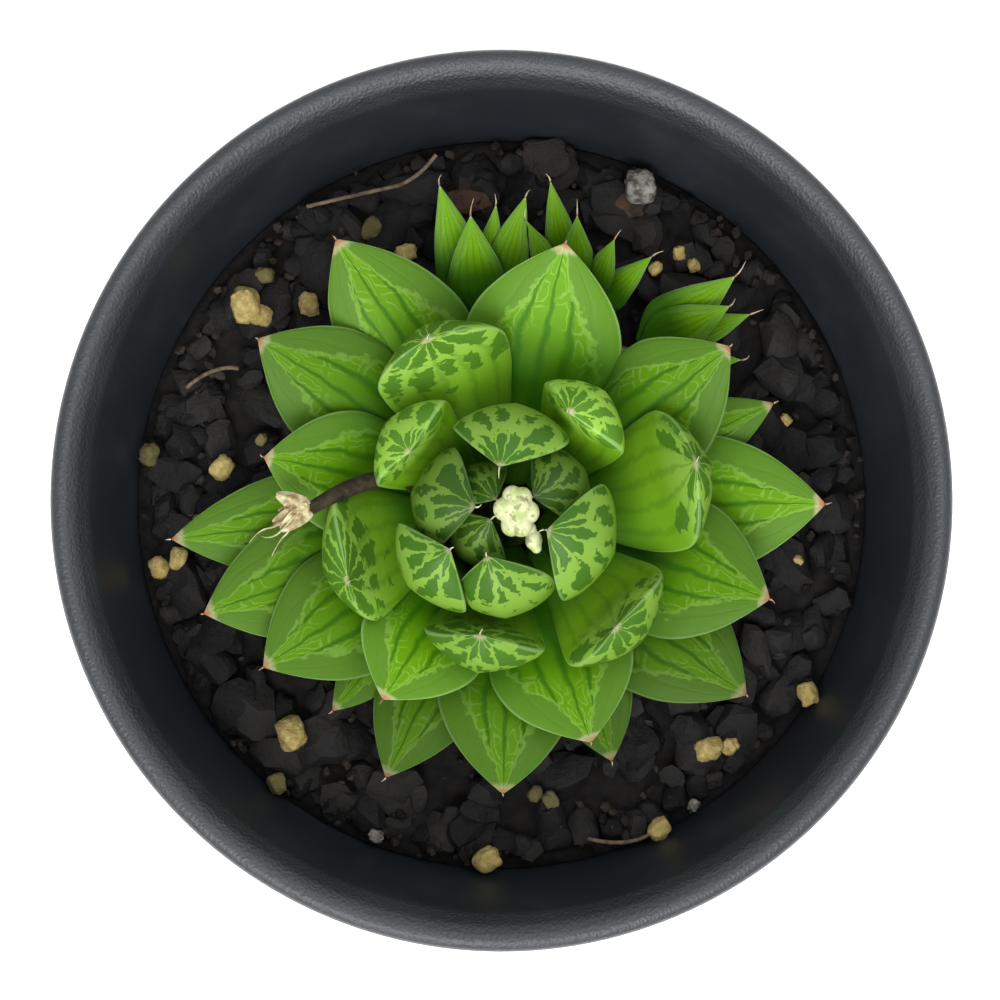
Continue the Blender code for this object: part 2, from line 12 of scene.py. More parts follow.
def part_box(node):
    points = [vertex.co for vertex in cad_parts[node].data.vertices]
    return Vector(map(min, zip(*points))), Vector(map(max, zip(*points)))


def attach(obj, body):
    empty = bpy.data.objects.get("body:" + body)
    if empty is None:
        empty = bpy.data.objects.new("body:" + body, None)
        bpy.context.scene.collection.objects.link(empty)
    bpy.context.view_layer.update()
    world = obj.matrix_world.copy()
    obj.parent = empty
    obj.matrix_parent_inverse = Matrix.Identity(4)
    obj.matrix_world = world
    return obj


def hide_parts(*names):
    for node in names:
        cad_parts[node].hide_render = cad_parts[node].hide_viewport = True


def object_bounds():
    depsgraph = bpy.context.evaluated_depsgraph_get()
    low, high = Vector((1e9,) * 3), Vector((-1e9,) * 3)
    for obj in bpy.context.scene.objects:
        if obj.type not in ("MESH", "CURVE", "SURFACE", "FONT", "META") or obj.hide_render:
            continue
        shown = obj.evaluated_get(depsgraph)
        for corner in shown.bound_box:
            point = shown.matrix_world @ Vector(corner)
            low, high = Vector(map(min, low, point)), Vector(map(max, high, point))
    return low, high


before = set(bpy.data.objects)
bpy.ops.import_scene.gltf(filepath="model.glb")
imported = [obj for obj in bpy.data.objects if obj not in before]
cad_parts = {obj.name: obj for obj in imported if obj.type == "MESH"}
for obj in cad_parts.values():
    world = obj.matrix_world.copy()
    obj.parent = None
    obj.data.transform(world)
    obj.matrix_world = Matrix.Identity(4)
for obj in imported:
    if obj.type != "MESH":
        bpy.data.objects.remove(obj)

CAD_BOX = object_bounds()
MM = 0.001

# ---- sizes shared with the CAD model
RIM_RADIUS, _, POT_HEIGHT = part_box("pot")[1]
LIP_INNER_RADIUS = 41.2 * MM
LIP_DROP = 2.6 * MM
WALL_TAPER = 0.19
WALL_THICKNESS = 1.6 * MM
SKIRT_HEIGHT = 9.5 * MM
SKIRT_TAPER = 0.06
FLOOR_RAISE = 2.6 * MM
FLOOR_THICKNESS = 1.8 * MM
DRAIN_RADIUS = 5.0 * MM
SMALL_DRAIN_RADIUS = 1.8 * MM
SMALL_DRAIN_COUNT = 6
SMALL_DRAIN_RING = 18.0 * MM
NOTCH_WIDTH = 6.0 * MM
NOTCH_HEIGHT = 1.5 * MM
NOTCH_COUNT = 4
# A ring of points just above the foot notches, which keeps the wall's shading even
FOOT_LINE = 3.5 * MM
SOIL_LEVEL = 63.0 * MM
PLANT_CENTRE = Vector((0.65 * MM, -1.55 * MM, SOIL_LEVEL))

# Leaf rows: blade's direction, tip's direction, tip's reach, tip's height, belly's reach, belly's height,
# width, thickness, height of the base on the stem (millimetres and degrees)
INNER_LEAVES = (
    (84, 101, 4.4, 20.5, 12.2, 13.0, 11.6, 4.6, 8.3),
    (30, 32, 2.8, 18.2, 9.6, 12.0, 10.0, 4.0, 9.0),
    (168, 172, 3.2, 19.6, 10.8, 12.6, 10.6, 4.4, 8.2),
    (130, 133, 1.7, 17.4, 6.0, 12.4, 6.0, 3.0, 10.0),
    (224, 202, 1.8, 17.6, 6.6, 12.2, 8.0, 3.2, 9.8),
    (273, 244, 4.8, 20.0, 11.2, 12.6, 10.8, 4.4, 8.0),
    (340, 334, 4.1, 20.6, 12.8, 13.0, 12.2, 4.6, 8.2),
    (217, 213, 6.7, 20.2, 13.2, 12.4, 11.0, 4.4, 7.4),
)
MIDDLE_LEAVES = (
    (47, 59, 11.4, 18.6, 15.2, 9.4, 10.6, 5.0, 6.4),
    (112, 115, 18.8, 17.0, 17.6, 7.4, 14.0, 5.4, 5.4),
    (140, 149, 11.3, 18.2, 14.6, 9.2, 11.0, 5.0, 6.4),
    (190, 203, 17.1, 16.6, 17.4, 7.2, 14.0, 5.0, 5.4),
    (261, 257, 12.3, 17.2, 15.4, 8.6, 12.2, 5.0, 6.2),
    (318, 313, 15.4, 17.2, 17.4, 8.0, 13.2, 5.0, 5.8),
    (9, 15, 19.1, 17.0, 17.8, 7.2, 14.4, 5.4, 5.4),
)
OUTER_LEAVES = (
    (79, 78, 27.6, 14.0, 16.0, 5.4, 16.4, 4.8, 3.9),
    (119, 122, 32.8, 11.0, 18.0, 4.0, 14.4, 4.4, 3.0),
    (141, 145, 30.7, 12.0, 17.5, 4.8, 14.2, 4.4, 3.3),
    (163, 167, 25.0, 13.4, 15.0, 5.6, 13.0, 4.4, 4.1),
    (196, 198, 32.4, 9.0, 18.0, 3.2, 13.6, 4.0, 2.5),
    (180, 184, 34.6, 6.2, 17.0, 1.6, 11.4, 3.0, 1.2),
    (210, 212, 29.0, 10.8, 16.5, 4.2, 14.0, 4.2, 3.2),
    (234, 236, 22.3, 13.2, 13.6, 5.6, 13.6, 4.4, 4.2),
    (270, 269, 28.2, 9.2, 16.0, 3.4, 14.2, 4.2, 2.7),
    (246, 245, 29.6, 5.4, 16.0, 1.5, 11.6, 3.0, 1.2),
    (290, 290, 24.3, 11.8, 14.5, 4.8, 15.0, 4.4, 3.7),
    (322, 323, 30.4, 7.6, 17.0, 2.4, 13.8, 4.0, 2.0),
    (344, 342, 27.6, 11.8, 16.0, 4.8, 15.0, 4.4, 3.6),
    (5, 2, 32.4, 7.8, 17.5, 2.6, 14.6, 4.0, 2.2),
    (36, 37, 27.8, 13.2, 16.0, 5.2, 14.6, 4.4, 3.6),
    (300, 293, 27.4, 4.6, 15.5, 1.3, 10.2, 2.8, 1.1),
    (227, 228, 27.0, 4.2, 15.0, 1.2, 8.2, 2.6, 1.1),
    (22, 23, 29.8, 5.2, 16.0, 1.4, 8.8, 2.8, 1.1),
)
# Offsets: place from the main stem, then rows of direction, reach, tip's height, belly's height, width,
# thickness, height of the base
OFFSET_STEM_RADIUS = 1.35
OFFSETS = (
    ((-2.8, 19.0), (
        (106, 15.2, 9.0, 2.8, 5.6, 1.9, 1.3),
        (95, 11.4, 10.0, 3.8, 6.2, 2.2, 2.5),
        (71, 14.2, 9.2, 2.8, 5.4, 1.9, 1.3),
        (83, 13.0, 7.2, 1.8, 4.2, 1.6, 0.9),
    )),
    ((7.2, 20.6), (
        (119, 11.0, 7.4, 2.4, 3.8, 1.7, 1.2),
        (102, 13.8, 8.6, 2.6, 4.2, 1.8, 1.2),
        (91, 9.8, 9.8, 3.8, 4.6, 1.9, 2.4),
        (64, 8.4, 8.4, 2.8, 4.0, 1.7, 1.4),
        (38, 9.6, 7.6, 2.2, 3.8, 1.6, 1.0),
    )),
    ((11.8, 16.6), (
        (34, 13.6, 9.6, 3.4, 6.2, 1.9, 1.8),
        (23, 11.6, 10.0, 4.0, 6.0, 1.9, 2.6),
        (17, 13.6, 7.4, 2.2, 4.8, 1.7, 1.0),
        (-3, 12.2, 6.6, 1.8, 4.0, 1.6, 0.8),
    )),
)

FLOWER_STALK = ((0.0, 0.0, 11.8), (0.2, 0.0, 14.5), (0.6, 0.1, 17.6))
BUD_CENTRE = (0.8, 0.1, 19.3)
SIDE_BUD_CENTRE = (2.5, -2.75, 18.3)
OLD_STALK = (
    (-6.0, 2.2, 5.6),
    (-9.0, 3.5, 8.2),
    (-13.0, 3.7, 11.4),
    (-17.0, 2.1, 14.0),
    (-19.6, 0.4, 15.2),
)

# Papery threads at the end of the old stalk
BRACT_THREADS = (
    ((-22.6, -1.4, 15.8), (-24.6, -1.6, 15.6), (-25.6, -2.9, 14.9)),
    ((-22.2, -1.8, 16.1), (-23.6, -2.6, 15.9), (-24.4, -2.3, 15.2)),
    ((-21.4, -1.7, 15.7), (-22.6, -2.7, 15.6), (-23.4, -4.2, 14.6)),
)

# How light each leaf is beside the rest of its ring: partly each leaf's own tone, partly painted light and
# shade for how much light each leaf catches, darker on leaves that lie deeper in shadow
LEAF_TONE_AND_SHADE = {
    "inner": (0.94, 0.52, 0.62, 0.62, 0.70, 1.0, 1.0, 1.0),
    "middle": (1.50, 1.20, 1.35, 1.10, 1.0, 1.0, 1.0),
    "outer": (
        1.25, 1.03, 0.82, 1.04, 0.89, 0.92, 0.88, 1.30, 0.76,
        0.60, 1.06, 0.62, 0.86, 1.14, 0.89, 0.58, 0.80, 0.85,
    ),
}
# How far the windows run down from the tip on single leaves, where 1 is usual
WINDOW_REACH = {
    "leaf_middle_02": 1.5,
    "leaf_middle_04": 1.5,
    "leaf_middle_05": 1.45,
    "leaf_middle_06": 1.2,
}

# Larger pieces of bark: place, half-length and half-width in millimetres, and shade, brown from 1.2 up
LARGE_BARK = (
    (-3.3, 31.8, 2.4, 1.4, 1.9),
    (12.0, 31.2, 3.2, 1.9, 1.9),
    (4.8, 36.4, 3.0, 2.5, 1.3),
    (-16.5, 27.0, 2.6, 1.6, 1.1),
)
# Ochre granules on the soil: place from the pot's axis and size, in millimetres, and how bright from 0 to 1
GRANULES = (
    (-26.8, 20.8, 1.9, 0.9), (-25.3, 19.6, 1.4, 0.8), (-10.0, 26.2, 1.2, 1.0), (-20.2, 20.8, 1.3, 0.9),
    (-25.0, 23.8, 1.1, 0.3), (-20.1, 24.8, 1.0, 0.3), (-13.6, 28.8, 1.3, 0.2), (-29.2, 3.6, 1.4, 0.8),
    (-35.8, -6.8, 1.2, 0.9), (-33.8, -5.8, 1.2, 0.9), (-31.4, -1.9, 1.0, 0.3), (-36.9, 5.0, 1.2, 0.2),
    (-21.9, -24.2, 1.9, 1.0), (-23.4, -29.3, 1.1, 0.3), (-1.5, -37.2, 1.5, 0.9), (5.1, -31.0, 1.0, 0.2),
    (3.5, -30.4, 0.9, 0.2), (16.4, -34.0, 1.3, 1.0), (21.6, -25.7, 1.5, 1.0), (23.8, -25.5, 1.0, 0.9),
    (32.0, -20.0, 1.3, 0.9), (30.8, -6.1, 0.8, 0.7), (29.8, 8.7, 0.7, 0.7), (16.2, 24.6, 0.8, 0.8),
    (18.7, 26.2, 0.8, 0.7), (20.2, 24.9, 0.8, 0.8), (-25.2, 6.6, 0.7, 0.4), (-30.8, -16.6, 0.5, 0.6),
)
# Grey stones: place and size
STONES = ((14.6, 33.0, 2.1), (-13.1, -34.8, 0.9), (20.1, -31.6, 0.7))
# Root fibres, in millimetres over the soil
FIBRES = (
    ((-20.4, 31.0, 1.8), (-14.0, 32.4, 2.6), (-9.0, 33.4, 2.6), (-6.8, 36.2, 3.4)),
    ((-33.0, 12.0, 1.4), (-30.0, 14.5, 2.0), (-27.5, 14.0, 1.6)),
    ((9.0, -35.0, 1.5), (13.0, -36.0, 2.0), (15.5, -34.5, 1.4)),
)

# ---- counts, ranges and chance
SEEDS = {"leaves": 7, "bark": 21, "granules": 5, "buds": 3, "bract": 12}
BARK_COUNT = 340
EDGE_BARK_COUNT = 90
GRIT_COUNT = 700
# Sizes in millimetres, and how long, wide and high a piece is beside its size
BARK_SIZES = (1.1, 3.1)
BARK_SHARES = ((0.9, 1.5), (0.7, 1.0), (0.4, 0.75))
EDGE_BARK_SIZES = (1.1, 2.2)
GRIT_SIZES = (0.3, 0.8)
CHIP_SHARES = (1.0, 0.8, 0.6)
GRANULE_SHARES = (1.05, 0.85, 0.8)
STONE_SHARES = (1.0, 0.85, 0.7)
SOIL_GAP = 0.35 * MM
SOIL_BED_DROP = 1.6 * MM
SOIL_STEPS = 96
SOIL_RINGS = 40
POT_STEPS = 192
AWN_LENGTHS = {"window_leaf": (0.9, 1.5), "leaf": (0.3, 0.9), "offset_leaf": (1.0, 1.8)}
AWN_RADIUS = 0.11 * MM
AWN_HEADROOM = 0.3 * MM
BRACT_PETALS = 5
BRACT_DIRECTION = 186
BRACT_FAN = 15
BRACT_ROWS = 11
BRACT_HALF_COLUMNS = 3
BRACT_WIDTH = 0.95 * MM
BRACT_THICKNESS = 0.1 * MM

# ---- leaf form
COARSE_STATIONS = (0.0, 0.12, 0.25, 0.38, 0.51, 0.64, 0.76, 0.86, 0.94)
COARSE_AROUND = 12
FINE_ALONG = 46
FINE_AROUND = 40
# Where a blade is widest along its length, and how full it stays from there to the tip
CLOSED_FORM = (0.66, 1.9)
OPEN_FORM = (0.56, 2.1)
OFFSET_FORM = (0.34, 1.5)
BASE_WIDTH_SHARE = 0.24
BASE_DEPTH_SHARE = 0.3
# The section: how much of the depth is above the margins, how flat the faces are, how keeled the back is
ADAXIAL_SHARE = 0.32
FACE_POWER = 1.4
KEEL = 0.35
TIP_START = 0.985
TIP_CROWDING = 1.35
SWELL_SPACING = 3.2 * MM
SWELL_HEIGHT = 0.12 * MM
# How leaves flatten where they meet: the step of the firmer and the softer one, and of a leaf on the soil
PRESS_CLEARANCE = 0.12 * MM
PRESS_SEARCH = 4 * MM
PRESS_ROUNDS = 60
FIRM_STEP = 0.99
SOFT_STEP = 0.955
GROUND_STEP = 0.95
LEAST_DRAW = 0.25
LEAF_LEAST_HEIGHT = 0.4 * MM
INNER_BASE, MIDDLE_BASE, OUTER_BASE = 3.3, 3.7, 4.2


# ---- node helpers
class Wire:
    """A node's output, with plain arithmetic."""

    def __init__(self, graph, socket):
        self.graph = graph
        self.socket = socket

    def __mul__(self, other):
        return self.graph.math("MULTIPLY", self, other)

    def __add__(self, other):
        return self.graph.math("ADD", self, other)

    def __sub__(self, other):
        return self.graph.math("SUBTRACT", self, other)

    def __rsub__(self, other):
        return self.graph.math("SUBTRACT", other, self)

    def __truediv__(self, other):
        return self.graph.math("DIVIDE", self, other)

    def __pow__(self, other):
        return self.graph.math("POWER", self, other)

    def __abs__(self):
        return self.graph.math("ABSOLUTE", self)


class Graph:
    """A material's node tree, with short calls for the nodes used here."""

    def __init__(self, name):
        self.material = bpy.data.materials.new(name)
        self.material.use_nodes = True
        self.tree = self.material.node_tree
        self.shader = self.tree.nodes["Principled BSDF"]

    def feed(self, socket, value):
        if isinstance(value, Wire):
            self.tree.links.new(value.socket, socket)
        else:
            socket.default_value = value

    def node(self, kind, output, inputs, **settings):
        """Adds a node, feeds its inputs and gives one output."""
        made = self.tree.nodes.new(kind)
        for key, value in settings.items():
            setattr(made, key, value)
        for key, value in inputs.items():
            self.feed(made.inputs[key], value)
        return Wire(self, made.outputs[output])

    def math(self, operation, a, b=0.0):
        return self.node("ShaderNodeMath", 0, {0: a, 1: b}, operation=operation)

    def ramp(self, value, width, start):
        """The value times a width, from a start."""
        return self.node("ShaderNodeMath", 0, {0: value, 1: width, 2: start}, operation="MULTIPLY_ADD")

    def smooth(self, value, low, high):
        """0 below low, 1 above high, smooth between."""
        inputs = {"Value": value, "From Min": low, "From Max": high}
        return self.node("ShaderNodeMapRange", "Result", inputs, interpolation_type="SMOOTHSTEP")

    def mix(self, share, a, b, blend="MIX"):
        colours = [colour if isinstance(colour, Wire) else (*colour, 1.0) for colour in (a, b)]
        inputs = {0: share, 6: colours[0], 7: colours[1]}
        return self.node("ShaderNodeMix", 2, inputs, data_type="RGBA", blend_type=blend)

    def split(self, vector):
        x = self.node("ShaderNodeSeparateXYZ", 0, {0: vector})
        outputs = x.socket.node.outputs
        return x, Wire(self, outputs[1]), Wire(self, outputs[2])

    def attribute(self, name):
        return self.split(self.node("ShaderNodeAttribute", "Vector", {}, attribute_name=name))

    def join(self, x, y, z=0.0):
        return self.node("ShaderNodeCombineXYZ", 0, {0: x, 1: y, 2: z})

    def noise(self, vector, scale, detail=3.0, roughness=0.55, output="Fac"):
        inputs = {"Vector": vector, "Scale": scale, "Detail": detail, "Roughness": roughness}
        return self.node("ShaderNodeTexNoise", output, inputs)

    def place(self):
        return self.node("ShaderNodeTexCoord", "Object", {})

    def bump(self, height, strength, distance):
        inputs = {"Strength": strength, "Distance": distance, "Height": height}
        self.feed(self.shader.inputs["Normal"], self.node("ShaderNodeBump", "Normal", inputs))

    def set(self, **values):
        for key, value in values.items():
            self.feed(self.shader.inputs[key.replace("_", " ")], value)


# ---- colours
GREEN_WINDOW = (0.033, 0.098, 0.006)
GREEN_VEIN = (0.128, 0.240, 0.028)
GREEN_FAR = (0.092, 0.190, 0.010)
GREEN_BRIGHT = (0.088, 0.200, 0.006)
GREEN_LINE = (0.030, 0.092, 0.003)
# Dark green of the leaf bases: partly their own deeper green, partly painted shade in the crowded crevices
# of the rosette
GREEN_BASE_AND_SHADOW = (0.013, 0.066, 0.001)
GREEN_LOOP = (0.150, 0.270, 0.036)
GREEN_MARGIN = (0.170, 0.275, 0.090)
OPEN_BRIGHT = (0.108, 0.272, 0.001)
OPEN_LINE = (0.030, 0.136, 0.0005)
OPEN_BORDER = (0.092, 0.212, 0.016)
OPEN_LOOP = (0.185, 0.365, 0.045)
OPEN_MARGIN = (0.205, 0.350, 0.115)
TIP_BROWN = (0.250, 0.120, 0.058)
TIP_PALE = (0.360, 0.300, 0.200)
BARK_BROWN = (0.050, 0.026, 0.014)
BARK_FLECK = (0.075, 0.062, 0.050)
# Duller, darker ochre for the granules given a low brightness
OCHRE_DULL = (0.065, 0.055, 0.014)
BUD_PATCH = (0.15, 0.15, 0.04)
# Paler grey for the lip: a painted sheen where light catches the rim
POT_LIP_SHEEN = (0.022, 0.024, 0.025)
# The two colours that each of these surfaces runs between
POT_BLACK = ((0.0092, 0.0118, 0.0150), (0.0135, 0.0165, 0.0205))
AWN_PALE = ((0.42, 0.44, 0.28), (0.55, 0.54, 0.42))
AWN_TAN = ((0.26, 0.17, 0.10), (0.42, 0.36, 0.27))
SOIL_FINES = ((0.0010, 0.0010, 0.0011), (0.0065, 0.0052, 0.0045))
BARK = ((0.0030, 0.0031, 0.0034), (0.0125, 0.0115, 0.0108))
GRIT = ((0.0035, 0.0033, 0.0033), (0.024, 0.018, 0.014))
OCHRE = ((0.22, 0.16, 0.040), (0.36, 0.28, 0.105))
STONE_GREY = ((0.05, 0.045, 0.04), (0.20, 0.19, 0.175))
BUD = ((0.42, 0.44, 0.25), (0.30, 0.36, 0.13))
# The old stalk's own dark olive-brown, darkened further as painted shade so it sinks into the shadow between
# the leaves
DRY_STALK = ((0.010, 0.007, 0.003), (0.034, 0.024, 0.013))
PAPERY = ((0.20, 0.12, 0.05), (0.46, 0.44, 0.26))
FIBRE_BROWN = ((0.05, 0.035, 0.02), (0.12, 0.09, 0.06))
STEM_GREEN = ((0.06, 0.09, 0.02), (0.14, 0.14, 0.05))
FLOOR_WHITE = ((0.93, 0.93, 0.93), (0.96, 0.96, 0.96))
INNER_LOOK = {"window_depth": 0.34, "window_strength": 1.0}
MIDDLE_LOOK = {"window_depth": 0.30, "window_strength": 0.92}
OPEN_LOOK = {"line_strength": 0.85, "border_strength": 1.0, "dry_from": 0.974, "tone": (0.62, 0.62, 0.62)}
SLENDER_LOOK = {"line_strength": 0.40, "border_strength": 0.35, "dry_from": 0.985, "tone": (0.88, 0.80, 1.8)}


# ---- materials
def leaf_surface(graph, colour, height, v, dry_from, gloss):
    """Dry point, waxy gloss and a soft inner glow, shared by every kind of leaf."""
    place = graph.place()
    ragged = graph.noise(place, 1500.0, 3.0)
    dry = v + graph.ramp(ragged, 0.03, -0.015)
    pale = graph.smooth(dry, dry_from - 0.02, dry_from)
    colour = graph.mix(pale * 0.5, colour, TIP_PALE)
    colour = graph.mix(graph.smooth(dry, dry_from, dry_from + 0.015), colour, TIP_BROWN)
    # The leaf's multiplier from its ring's row: partly its own tone, partly painted light and shade
    _, tone, _ = graph.attribute("side")
    colour = graph.mix(1.0, colour, graph.join(tone, tone, tone), "MULTIPLY")
    waxy = graph.noise(place, 900.0, 4.0)
    graph.set(Base_Color=colour, Roughness=graph.ramp(waxy, 0.22, 0.34), Specular_IOR_Level=gloss)
    graph.set(Subsurface_Weight=0.15, Subsurface_Radius=(0.35, 0.9, 0.12), Subsurface_Scale=0.0010)
    graph.bump(height, 0.30, 0.00015)


def leaf_cells(graph, x, v, seed, across, along, raggedness):
    """Distance to the edge of cells that run lengthwise and draw together at the tip."""
    ground = graph.join(x * 3.4, v * 22.0, seed)
    shift_x, shift_v, _ = graph.split(graph.noise(ground, 1.3, 3.5, 0.5, "Color"))
    spots = []
    for shift, coordinate, scale, step in ((shift_x, x, across, 7.0), (shift_v, v, along, 3.0)):
        bend = (shift - 0.5) * raggedness
        spots.append(coordinate * scale + bend + seed * step)
    inputs = {"Vector": graph.join(*spots), "Scale": 1.0, "Randomness": 0.85}
    settings = {"feature": "DISTANCE_TO_EDGE", "voronoi_dimensions": "2D"}
    return graph.node("ShaderNodeTexVoronoi", "Distance", inputs, **settings)


def window_leaf_material(name, window_depth, window_strength):
    """Dark translucent windows between pale branching veins that run together at the tip."""
    graph = Graph(name)
    x, v, seed = graph.attribute("pattern")
    under, _, window_reach = graph.attribute("side")
    back = graph.smooth(under, 0.44, 0.56)
    depth = (1 - v) / (window_reach * window_depth)
    cell = leaf_cells(graph, x, v, seed, 2.5, 4.4, 0.70)
    least = graph.ramp(depth ** 1.3, 0.2, 0.045)
    window = graph.smooth(cell, least, least + 0.035)
    patchy = graph.noise(graph.join(x * 2.6, v * 11.0, seed), 1.4, 3.0)
    reach = depth + (patchy - 0.5) * 1.5
    window = window * (1 - graph.smooth(reach, 1.0, 1.12))
    size = abs(x)
    near_margin = graph.smooth(size + patchy * 0.3 + (1 - depth) * 0.35, 0.66, 0.76)
    face_share = graph.math("MAXIMUM", back, near_margin)
    face_share = graph.math("MAXIMUM", face_share, graph.smooth(window_reach, 1.1, 1.4))
    window = window * face_share * window_strength
    veined = graph.mix(graph.smooth(depth, 0.6, 1.5), GREEN_VEIN, GREEN_FAR)
    saw = graph.math("FRACT", x * 2.6 + patchy * 0.6)
    line = abs(saw - 0.5)
    thread = (1 - graph.smooth(line, 0.02, 0.22)) * 0.35
    fronts = graph.mix(graph.smooth(depth, 0.1, 1.2), GREEN_LOOP, GREEN_BRIGHT)
    fronts = graph.mix(thread, fronts, GREEN_LINE)
    colour = graph.mix(window, graph.mix(back, fronts, veined), GREEN_WINDOW)
    # The thin pale margin: partly the leaf's own pale edge, partly a painted glow of light passing through
    # the thin edge
    margin = graph.smooth(size, 0.965, 0.99)
    colour = graph.mix(margin * 0.5, colour, GREEN_MARGIN)
    # Darker towards the base: partly the base's own deeper green, partly painted shade where the leaves
    # crowd together
    shade = graph.smooth(1 - v, 0.42, 0.8)
    colour = graph.mix(shade * 0.85, colour, GREEN_BASE_AND_SHADOW)
    leaf_surface(graph, colour, patchy - window * 0.6, v, 0.992, 0.16)
    return graph.material


def toned(colour, tone):
    return tuple(share * part for share, part in zip(colour, tone))


def face_leaf_material(name, line_strength, border_strength, dry_from, tone):
    """Open leaves: bright middle, dark lines, pale loops, a grey-green border and a thin pale margin."""
    graph = Graph(name)
    bright = toned(OPEN_BRIGHT, tone)
    deep = toned(OPEN_LINE, tone)
    loops = toned(OPEN_LOOP, tone)
    x, v, seed = graph.attribute("pattern")
    under = graph.smooth(graph.attribute("side")[0], 0.46, 0.56)
    wander = graph.noise(graph.join(x * 2.0, v * 7.0, seed), 1.4, 3.0)
    bent = x + (wander - 0.5) * 0.15
    saw = graph.math("FRACT", bent * 3.1 + 0.5)
    line = abs(saw - 0.5)
    spread = graph.ramp(graph.smooth(v, 0.95, 0.45), 0.20, 0.12)
    thread = 1 - graph.smooth(line, 0.02, spread)
    size = abs(x)
    ragged = graph.noise(graph.join(x * 4.2, v * 13.0, seed), 1.5, 3.0)
    run_in = graph.smooth(v, 0.45, 0.95) * 0.5
    reach = size + run_in + ragged * 0.42
    border = graph.smooth(reach, 0.98, 1.03)
    cell = leaf_cells(graph, x, v, seed, 3.6, 9.0, 0.45)
    ring = graph.smooth(cell, 0.08, 0.12) * (1 - graph.smooth(cell, 0.15, 0.2))
    ring = ring * graph.smooth(reach, 0.5, 0.8)
    middle = graph.mix(ring * (0.9 * border_strength), bright, loops)
    middle = graph.mix(thread * line_strength, middle, deep)
    colour = graph.mix(border * border_strength, middle, toned(OPEN_BORDER, tone))
    outline = graph.smooth(reach, 0.92, 0.97) * (1 - graph.smooth(reach, 1.0, 1.05))
    colour = graph.mix(outline * (0.75 * border_strength), colour, loops)
    # The thin pale margin: partly the leaf's own pale edge, partly a painted glow of light passing through
    # the thin edge
    margin = graph.smooth(size, 0.955, 0.985)
    colour = graph.mix(margin * 0.7, colour, toned(OPEN_MARGIN, tone))
    plain = graph.mix(thread * 0.3, bright, deep)
    colour = graph.mix(under * 0.7, colour, plain)
    # Darker towards the base: partly the base's own deeper green, partly painted shade where the leaves
    # crowd together
    shade = graph.smooth(1 - v, 0.24, 0.6)
    colour = graph.mix(shade * 0.9, colour, GREEN_BASE_AND_SHADOW)
    leaf_surface(graph, colour, ragged - thread * 0.8, v, dry_from, 0.08)
    return graph.material


def plain_material(name, low, high, scale, roughness, bump=0.0003, detail=5.0, strength=0.5):
    """A mottled surface between two colours."""
    graph = Graph(name)
    spread = graph.noise(graph.place(), scale, detail, 0.6)
    graph.set(Base_Color=graph.mix(graph.smooth(spread, 0.35, 0.65), low, high))
    graph.set(Roughness=graph.ramp(spread, 0.2, roughness - 0.1), Specular_IOR_Level=0.2)
    graph.bump(graph.noise(graph.place(), scale * 2.5, detail), strength, bump)
    return graph.material


def bark_material(name, low, high):
    """Damp bark: fibrous grain, broken faces, a few paler flecks."""
    graph = Graph(name)
    place = graph.place()
    coarse = graph.noise(place, 260.0, 5.0, 0.65)
    grain = graph.noise(place, 1400.0, 4.0, 0.7)
    _, _, seed = graph.attribute("pattern")
    shade = coarse * 0.6 + seed * 0.5
    colour = graph.mix(graph.smooth(shade, 0.30, 0.85), low, high)
    brown = graph.smooth(seed, 1.2, 1.8) * graph.smooth(coarse, 0.3, 0.6)
    colour = graph.mix(brown * 0.9, colour, BARK_BROWN)
    colour = graph.mix(graph.smooth(grain, 0.66, 0.74) * 0.35, colour, BARK_FLECK)
    graph.set(Base_Color=colour, Roughness=graph.ramp(grain, 0.35, 0.55), Specular_IOR_Level=0.16)
    graph.bump(coarse + grain * 0.5, 0.8, 0.0006)
    return graph.material


def pot_material():
    """Black moulded plastic with a paler painted sheen on the lip: leathery grain that is strongest on the
    lip, smoother down the wall.
    """
    graph = Graph("pot_plastic")
    place = graph.place()
    _, _, height = graph.split(place)
    lip = graph.smooth(height, POT_HEIGHT - 6.0 * MM, POT_HEIGHT - 1.0 * MM)
    inputs = {"Vector": place, "Scale": 3200.0}
    pebble = graph.node("ShaderNodeTexVoronoi", "Distance", inputs, feature="SMOOTH_F1")
    fine = graph.noise(place, 5200.0, 3.0)
    dust = graph.noise(place, 120.0, 4.0)
    colour = graph.mix(graph.smooth(dust, 0.45, 0.75), *POT_BLACK)
    # Painted sheen: the lip is lightened towards a paler grey
    colour = graph.mix(lip * 0.15, colour, POT_LIP_SHEEN)
    grain = pebble * 0.8 + fine * 0.5
    graph.set(Base_Color=colour, Roughness=graph.ramp(dust, 0.14, 0.40))
    share = graph.ramp(lip, 0.75, 0.25)
    graph.bump(grain * share, 0.8, 0.00011)
    return graph.material


# ---- meshes
def link(name, mesh, material=None):
    obj = bpy.data.objects.new(name, mesh)
    bpy.context.scene.collection.objects.link(obj)
    if material:
        mesh.materials.append(material)
    return obj


def finish_piece(obj, slot, *nodes):
    """Rides the piece on the body and hides the CAD nodes that it replaces; the slot is not used."""
    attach(obj, "root")
    if nodes:
        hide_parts(*nodes)
    return obj


def polar(radius, turn, z=0.0):
    return Vector((radius * math.cos(turn), radius * math.sin(turn), z))


def turns(count):
    return [2 * math.pi * i / count for i in range(count)]


def band(mesh, one, two):
    """Faces between two closed rings of vertices."""
    pairs = list(zip(one, two))
    return [mesh.faces.new((a, c, d, b)) for (a, b), (c, d) in zip(pairs, pairs[1:] + pairs[:1])]


def finished_mesh(name, mesh, outward=True):
    """The mesh data of a bmesh."""
    if outward:
        bmesh.ops.recalc_face_normals(mesh, faces=mesh.faces)
    made = bpy.data.meshes.new(name)
    mesh.to_mesh(made)
    mesh.free()
    return made


def inner_wall_radius(z):
    return LIP_INNER_RADIUS - (POT_HEIGHT - LIP_DROP - z) * WALL_TAPER


